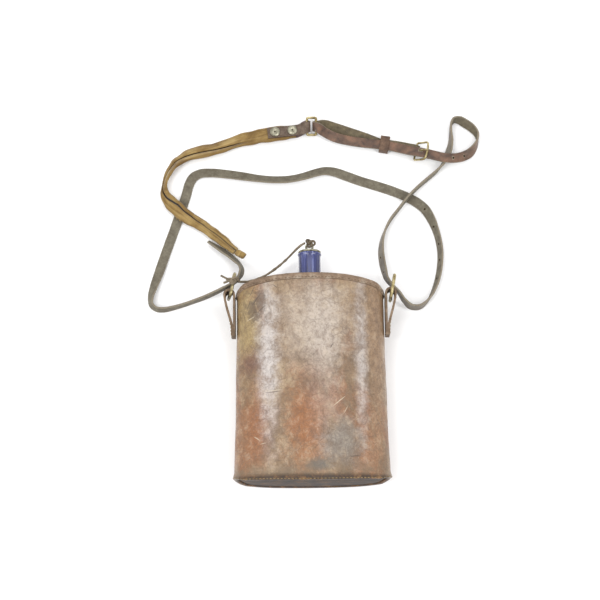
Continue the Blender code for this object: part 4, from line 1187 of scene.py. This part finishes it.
def stopper_pieces(metal, cork, lace):
    """The cap, cork, plate and nut on their stem, with the lace's knot in its eye."""
    disc = [(1.45, 129.2), (4.0, 129.3), (9.6, 129.25), (10.6, 129.15), (11.2, 128.6), (11.3, 127.9),
            (11.0, 127.3), (10.4, 127.1), (1.45, 127.1)]
    turned("stopper_cap", rounded_profile(disc, 3, 0.3), metal, "stopper", ("stopper_disc",), about_neck())
    same_shape("stopper_plug", "stopper_cork", cork, "stopper", 0.4)
    same_shape("stopper_plate", "stopper_washer", metal, "stopper", 0.15)
    same_shape("stopper_hex", "stopper_nut", metal, "stopper", 0.2)
    loop = arc((0, 133.9), 3.3, -90, 240, 40)
    wire("stopper_eye", [(0, 99.4, NECK_Z)] + [(x, y, NECK_Z) for x, y in loop], 1.1, metal, "stopper",
         ("stopper_stem",))
    knot("lace_knot", (1.0, 137.0, 33.4), (1.55, 1.35, 1.45), 1.2, -20, lace, "stopper", ("thong_knot_top",))


def knot(name, centre, size, radius, turn, finish, body, stands_for):
    """A simple overhand knot of lace."""
    points = []
    steps = 84
    for k in range(steps):
        t = 2 * math.pi * k / steps
        points.append((size[0] * (math.sin(t) + 2 * math.sin(2 * t)),
                       size[1] * (math.cos(t) - 2 * math.cos(2 * t)), -size[2] * math.sin(3 * t)))
    stand = Matrix.Translation(centre) @ Matrix.Rotation(math.radians(turn), 4, "Z")
    return wire(name, points, radius, finish, body, stands_for, cyclic=True, place=stand, swell=0.25)


def stopper_lace(finish):
    """The thong's free length, tied at the stopper's eye and at the left ring."""
    points = [tuple(p) for p in smooth_through(THONG_POINTS + [(-70.6, 97.2, 39.8)], 8)]
    piece = wire("stopper_lace", points, 1.2, finish, None, ("stopper_thong",), swell=0.35)
    tie = knot("ring_tie", (-75.2, 97.6, 42.6), (2.0, 1.0, 1.0), 1.15, 6, finish, "left_ring",
               ("thong_knot_ring",))
    long_tail = [(-79.4, 98.4, 43.6), (-82.4, 99.8, 43.8), (-85.2, 101.6, 42.6), (-86.6, 102.6, 41.8)]
    short_tail = [(-79.0, 97.2, 42.0), (-81.8, 96.2, 41.0), (-84.0, 96.0, 39.6)]
    tails = [wire(f"tie_tail_{number}", tail, radius, finish, "left_ring", swell=0.4)
             for number, tail, radius in ((1, long_tail, 1.05), (2, short_tail, 1.0))]
    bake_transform(piece)


# ---------------------------------------------------------------- rings, tabs, buckle

def d_ring(name, node, bar, lean, bar_tilt, finish, body):
    """A D-ring whose straight bar stands at bar, its bow leaning outwards by lean degrees."""
    half, reach, z = 9.6, 23.8, 31.0
    shoulder = reach - half
    near = [(0.8, -half), (shoulder, -half)]
    outline = near + arc((shoulder, 0), half, -90, 90, 36)[1:-1]
    outline += [(x, -y) for x, y in reversed(near)]
    outline += [(0.25, half - 0.25), (0, half - 0.8), (0, 0.8 - half), (0.25, 0.25 - half)]
    stand = (Matrix.Translation((*bar, z)) @ Matrix.Rotation(math.radians(-lean), 4, "Z")
             @ Matrix.Rotation(math.radians(bar_tilt), 4, "Y") @ Matrix.Rotation(-math.pi / 2, 4, "X"))
    wire(name, [(0, y, x) for x, y in outline], 1.6, finish, body, (node,), cyclic=True, place=stand)


def square_ring(finish):
    """The wire ring between the sling and the shoulder piece."""
    half_long, half_short, bend = 9.0, 4.6, 1.4
    outline = []
    for k, (right, up) in enumerate(((1, 1), (-1, 1), (-1, -1), (1, -1))):
        x, y = half_short * right, half_long * up
        centre = (x - math.copysign(bend, x), y - math.copysign(bend, y))
        outline += arc(centre, bend, 90 * k, 90 * k + 90, 8)
    stand = Matrix.Translation((4.1, 269.7, 9.8)) @ Matrix.Rotation(math.radians(SQUARE_LEAN), 4, "X")
    return wire("strap_ring", [(x, y, 0) for x, y in outline], 1.3, finish, "strap_ring", ("square_ring",),
                cyclic=True, place=stand)


def buckle(finish):
    """The buckle's frame of wire and the pin that turns about its heel bar."""
    half_long, length, bend = 9.4, 14.4, 3.0
    outline = [(0.0, 1.0 - half_long), (1.0, -half_long)]
    outline += arc((length - bend, -half_long + bend), bend, -90, 0, 8)
    outline += [(length + 0.5, -3.5), (length + 0.8, 0), (length + 0.5, 3.5)]
    outline += arc((length - bend, half_long - bend), bend, 0, 90, 8)
    outline += [(1.0, half_long), (0.0, half_long - 1.0)]
    frame_piece = wire("buckle_wire", [(x, y, 0) for x, y in outline], 1.1, finish, "buckle",
                       ("buckle_frame",), cyclic=True, place=buckle_stand())
    hook = [(x, 0, z) for x, z in arc((0, 0), 2.2, -60, -270, 20)]
    rise = smooth_through([(2.2, 0, 2.4), (8.0, 0, 2.4), (14.0, 0, 2.4), (17.4, 0, 1.9)], 5)
    tongue = wire("buckle_pin", hook + rise, 0.8, finish, "tongue", ("buckle_tongue",), place=buckle_stand())
    return [frame_piece, tongue]


def rivets(finish):
    """The two domed rivets that hold the patch to the canvas."""
    profile = [(0.55, 11.0), (0.8, 11.7), (1.3, 12.1), (2.0, 12.25), (2.3, 11.95), (2.7, 12.2), (3.6, 12.0),
               (4.5, 11.5), (5.05, 10.95), (5.0, 10.72), (1.5, 10.7), (1.5, 1.3), (4.0, 1.3), (4.0, 0.3),
               (0.55, 0.3)]
    return [turned(f"domed_rivet_{number}", rounded_profile(profile, 2, 0.2), finish, "case",
                   (f"shoulder_rivet_{number}",), Matrix.Translation((x, y, 0)))
            for number, x, y in ((1, -33.4, 264.0), (2, -15.6, 265.7))]


def tab_stitch_lines(side):
    """Two stitch lines down the outer face of a tab's sewn end."""
    face = [(78.5, 58.0), (77.9, 56.0), (77.45, 52.0), (77.2, 48.0), (77.05, 45.0)]
    return [[Vector((side * x, y, z)) * MM for x, y in face] for z in (25.2, 36.8)]


def sew(tree, thread_pale, thread_dark, patch_top):
    """All the stitching: both bands, the tabs and the shoulder patch."""
    for name, edge, shift, grow, sizes, colour in (
            ("top_seam", top_edge, -4.3, 1.05, (3.2, 2.1, 0.30), thread_dark),
            ("base_seam", base_edge, 0.7, 0.92, (3.4, 2.3, 0.42), thread_pale)):
        ring = section_ring(edge, shift, grow)
        stitch_row(name, tree, [[p * MM for p in ring + ring[:1]]], sizes, colour, "case")
    tabs = tab_stitch_lines(1) + tab_stitch_lines(-1)
    stitch_row("tab_seams", tree, tabs, (3.0, 2.3, 0.36), thread_pale, "case")
    rows = [on_strap(patch_top, a, -PATCH_THICK / 2 - 0.05, 0.55, 0.98) for a in (-4.4, 4.4)]
    stitch_row("patch_seams", tree, rows, (2.8, 2.0, 0.28), thread_dark, "case")


# ---------------------------------------------------------------- all of it

set_up_camera()
set_up_studio()

leather = case_leather()
top_leather = band_leather("top_band_leather", dye(158, 144, 128), dye(98, 80, 64), dye(134, 112, 92))
base_leather = band_leather("base_band_leather", dye(104, 72, 40), dye(26, 18, 11), dye(58, 39, 20))
tab_leather = band_leather("tab_leather", dye(140, 120, 98), dye(84, 66, 48), dye(114, 94, 74))
keeper_leather = band_leather("keeper_leather", dye(126, 100, 80), dye(60, 44, 36), dye(96, 74, 58))
lace_leather = band_leather("lace_leather", dye(138, 124, 104), dye(78, 68, 54), dye(110, 98, 80))
sling_leather = strap_leather("sling_leather", (dye(84, 75, 63), dye(116, 108, 94)),
                              (dye(88, 81, 67), dye(114, 108, 92)), dye(134, 124, 106),
                              (dye(66, 47, 38), dye(120, 88, 68)), (dye(72, 62, 44), dye(110, 98, 72)))
patch_leather = strap_leather("patch_leather", (dye(58, 40, 40), dye(112, 86, 82)),
                              (dye(80, 66, 54), dye(112, 96, 82)), dye(60, 44, 38))
tan_canvas = canvas()
enamel = blue_enamel()
brass = old_metal("old_brass", dye(200, 186, 142), dye(148, 134, 94), dye(76, 64, 44))
buckle_brass = old_metal("buckle_brass", dye(204, 190, 146), dye(146, 130, 90), dye(70, 58, 40), 0.34)
ring_metal = old_metal("ring_metal", dye(176, 164, 128), dye(128, 116, 84), dye(68, 58, 42), 0.42)
dull_metal = old_metal("dull_metal", dye(178, 174, 154), dye(140, 136, 118), dye(80, 74, 60), 0.45, 0.7)
# A dark finish for the insides of the punched holes, painted shade.
hole_painted_shade = Finish("hole_painted_shade", roughness=0.95, specular=0.1)
hole_painted_shade.colour(dye(34, 28, 22))
cork = bare_cork()

case_wall(leather)
band("top_binding", top_edge, 1, BAND_PROFILE, top_leather, "top_band", 0.5)
band("base_binding", base_edge, -1, BASE_PROFILE, leather, "base_welt", 0.9)
same_shape("top_plate", "case_top", top_leather, "case", 0.5)
same_shape("base_plate", "case_base", base_leather, "case", 0.5)
same_shape("steel_flask", "flask_shell", enamel, "case", 0.0)
enamel_neck(enamel)
stopper_pieces(dull_metal, cork, lace_leather)
for side_name in ("right", "left"):
    same_shape(f"{side_name}_ring_tab", f"tab_{side_name}", tab_leather, "case", 0.4)
d_ring("right_d_ring", "ring_right", (78.8, 80.4), 11.0, 0.0, brass, "right_ring")
d_ring("left_d_ring", "ring_left", (-78.9, 83.6), 12.0, 9.0, ring_metal, "left_ring")
stopper_lace(lace_leather)
fittings = buckle(buckle_brass)
fittings.append(same_shape("leather_keeper", "strap_keeper", keeper_leather, "keeper", 0.4))
fittings.append(square_ring(buckle_brass))
sling_strap(sling_leather, hole_painted_shade.material)
patch, patch_top = patch_strip(patch_leather)
shoulder_canvas(tan_canvas, [patch, *rivets(dull_metal)])
pale_thread = thread("pale_thread", dye(150, 128, 92))
dark_thread = thread("dark_thread", dye(96, 80, 62))
sew(stitch_tree(), pale_thread, dark_thread, patch_top)
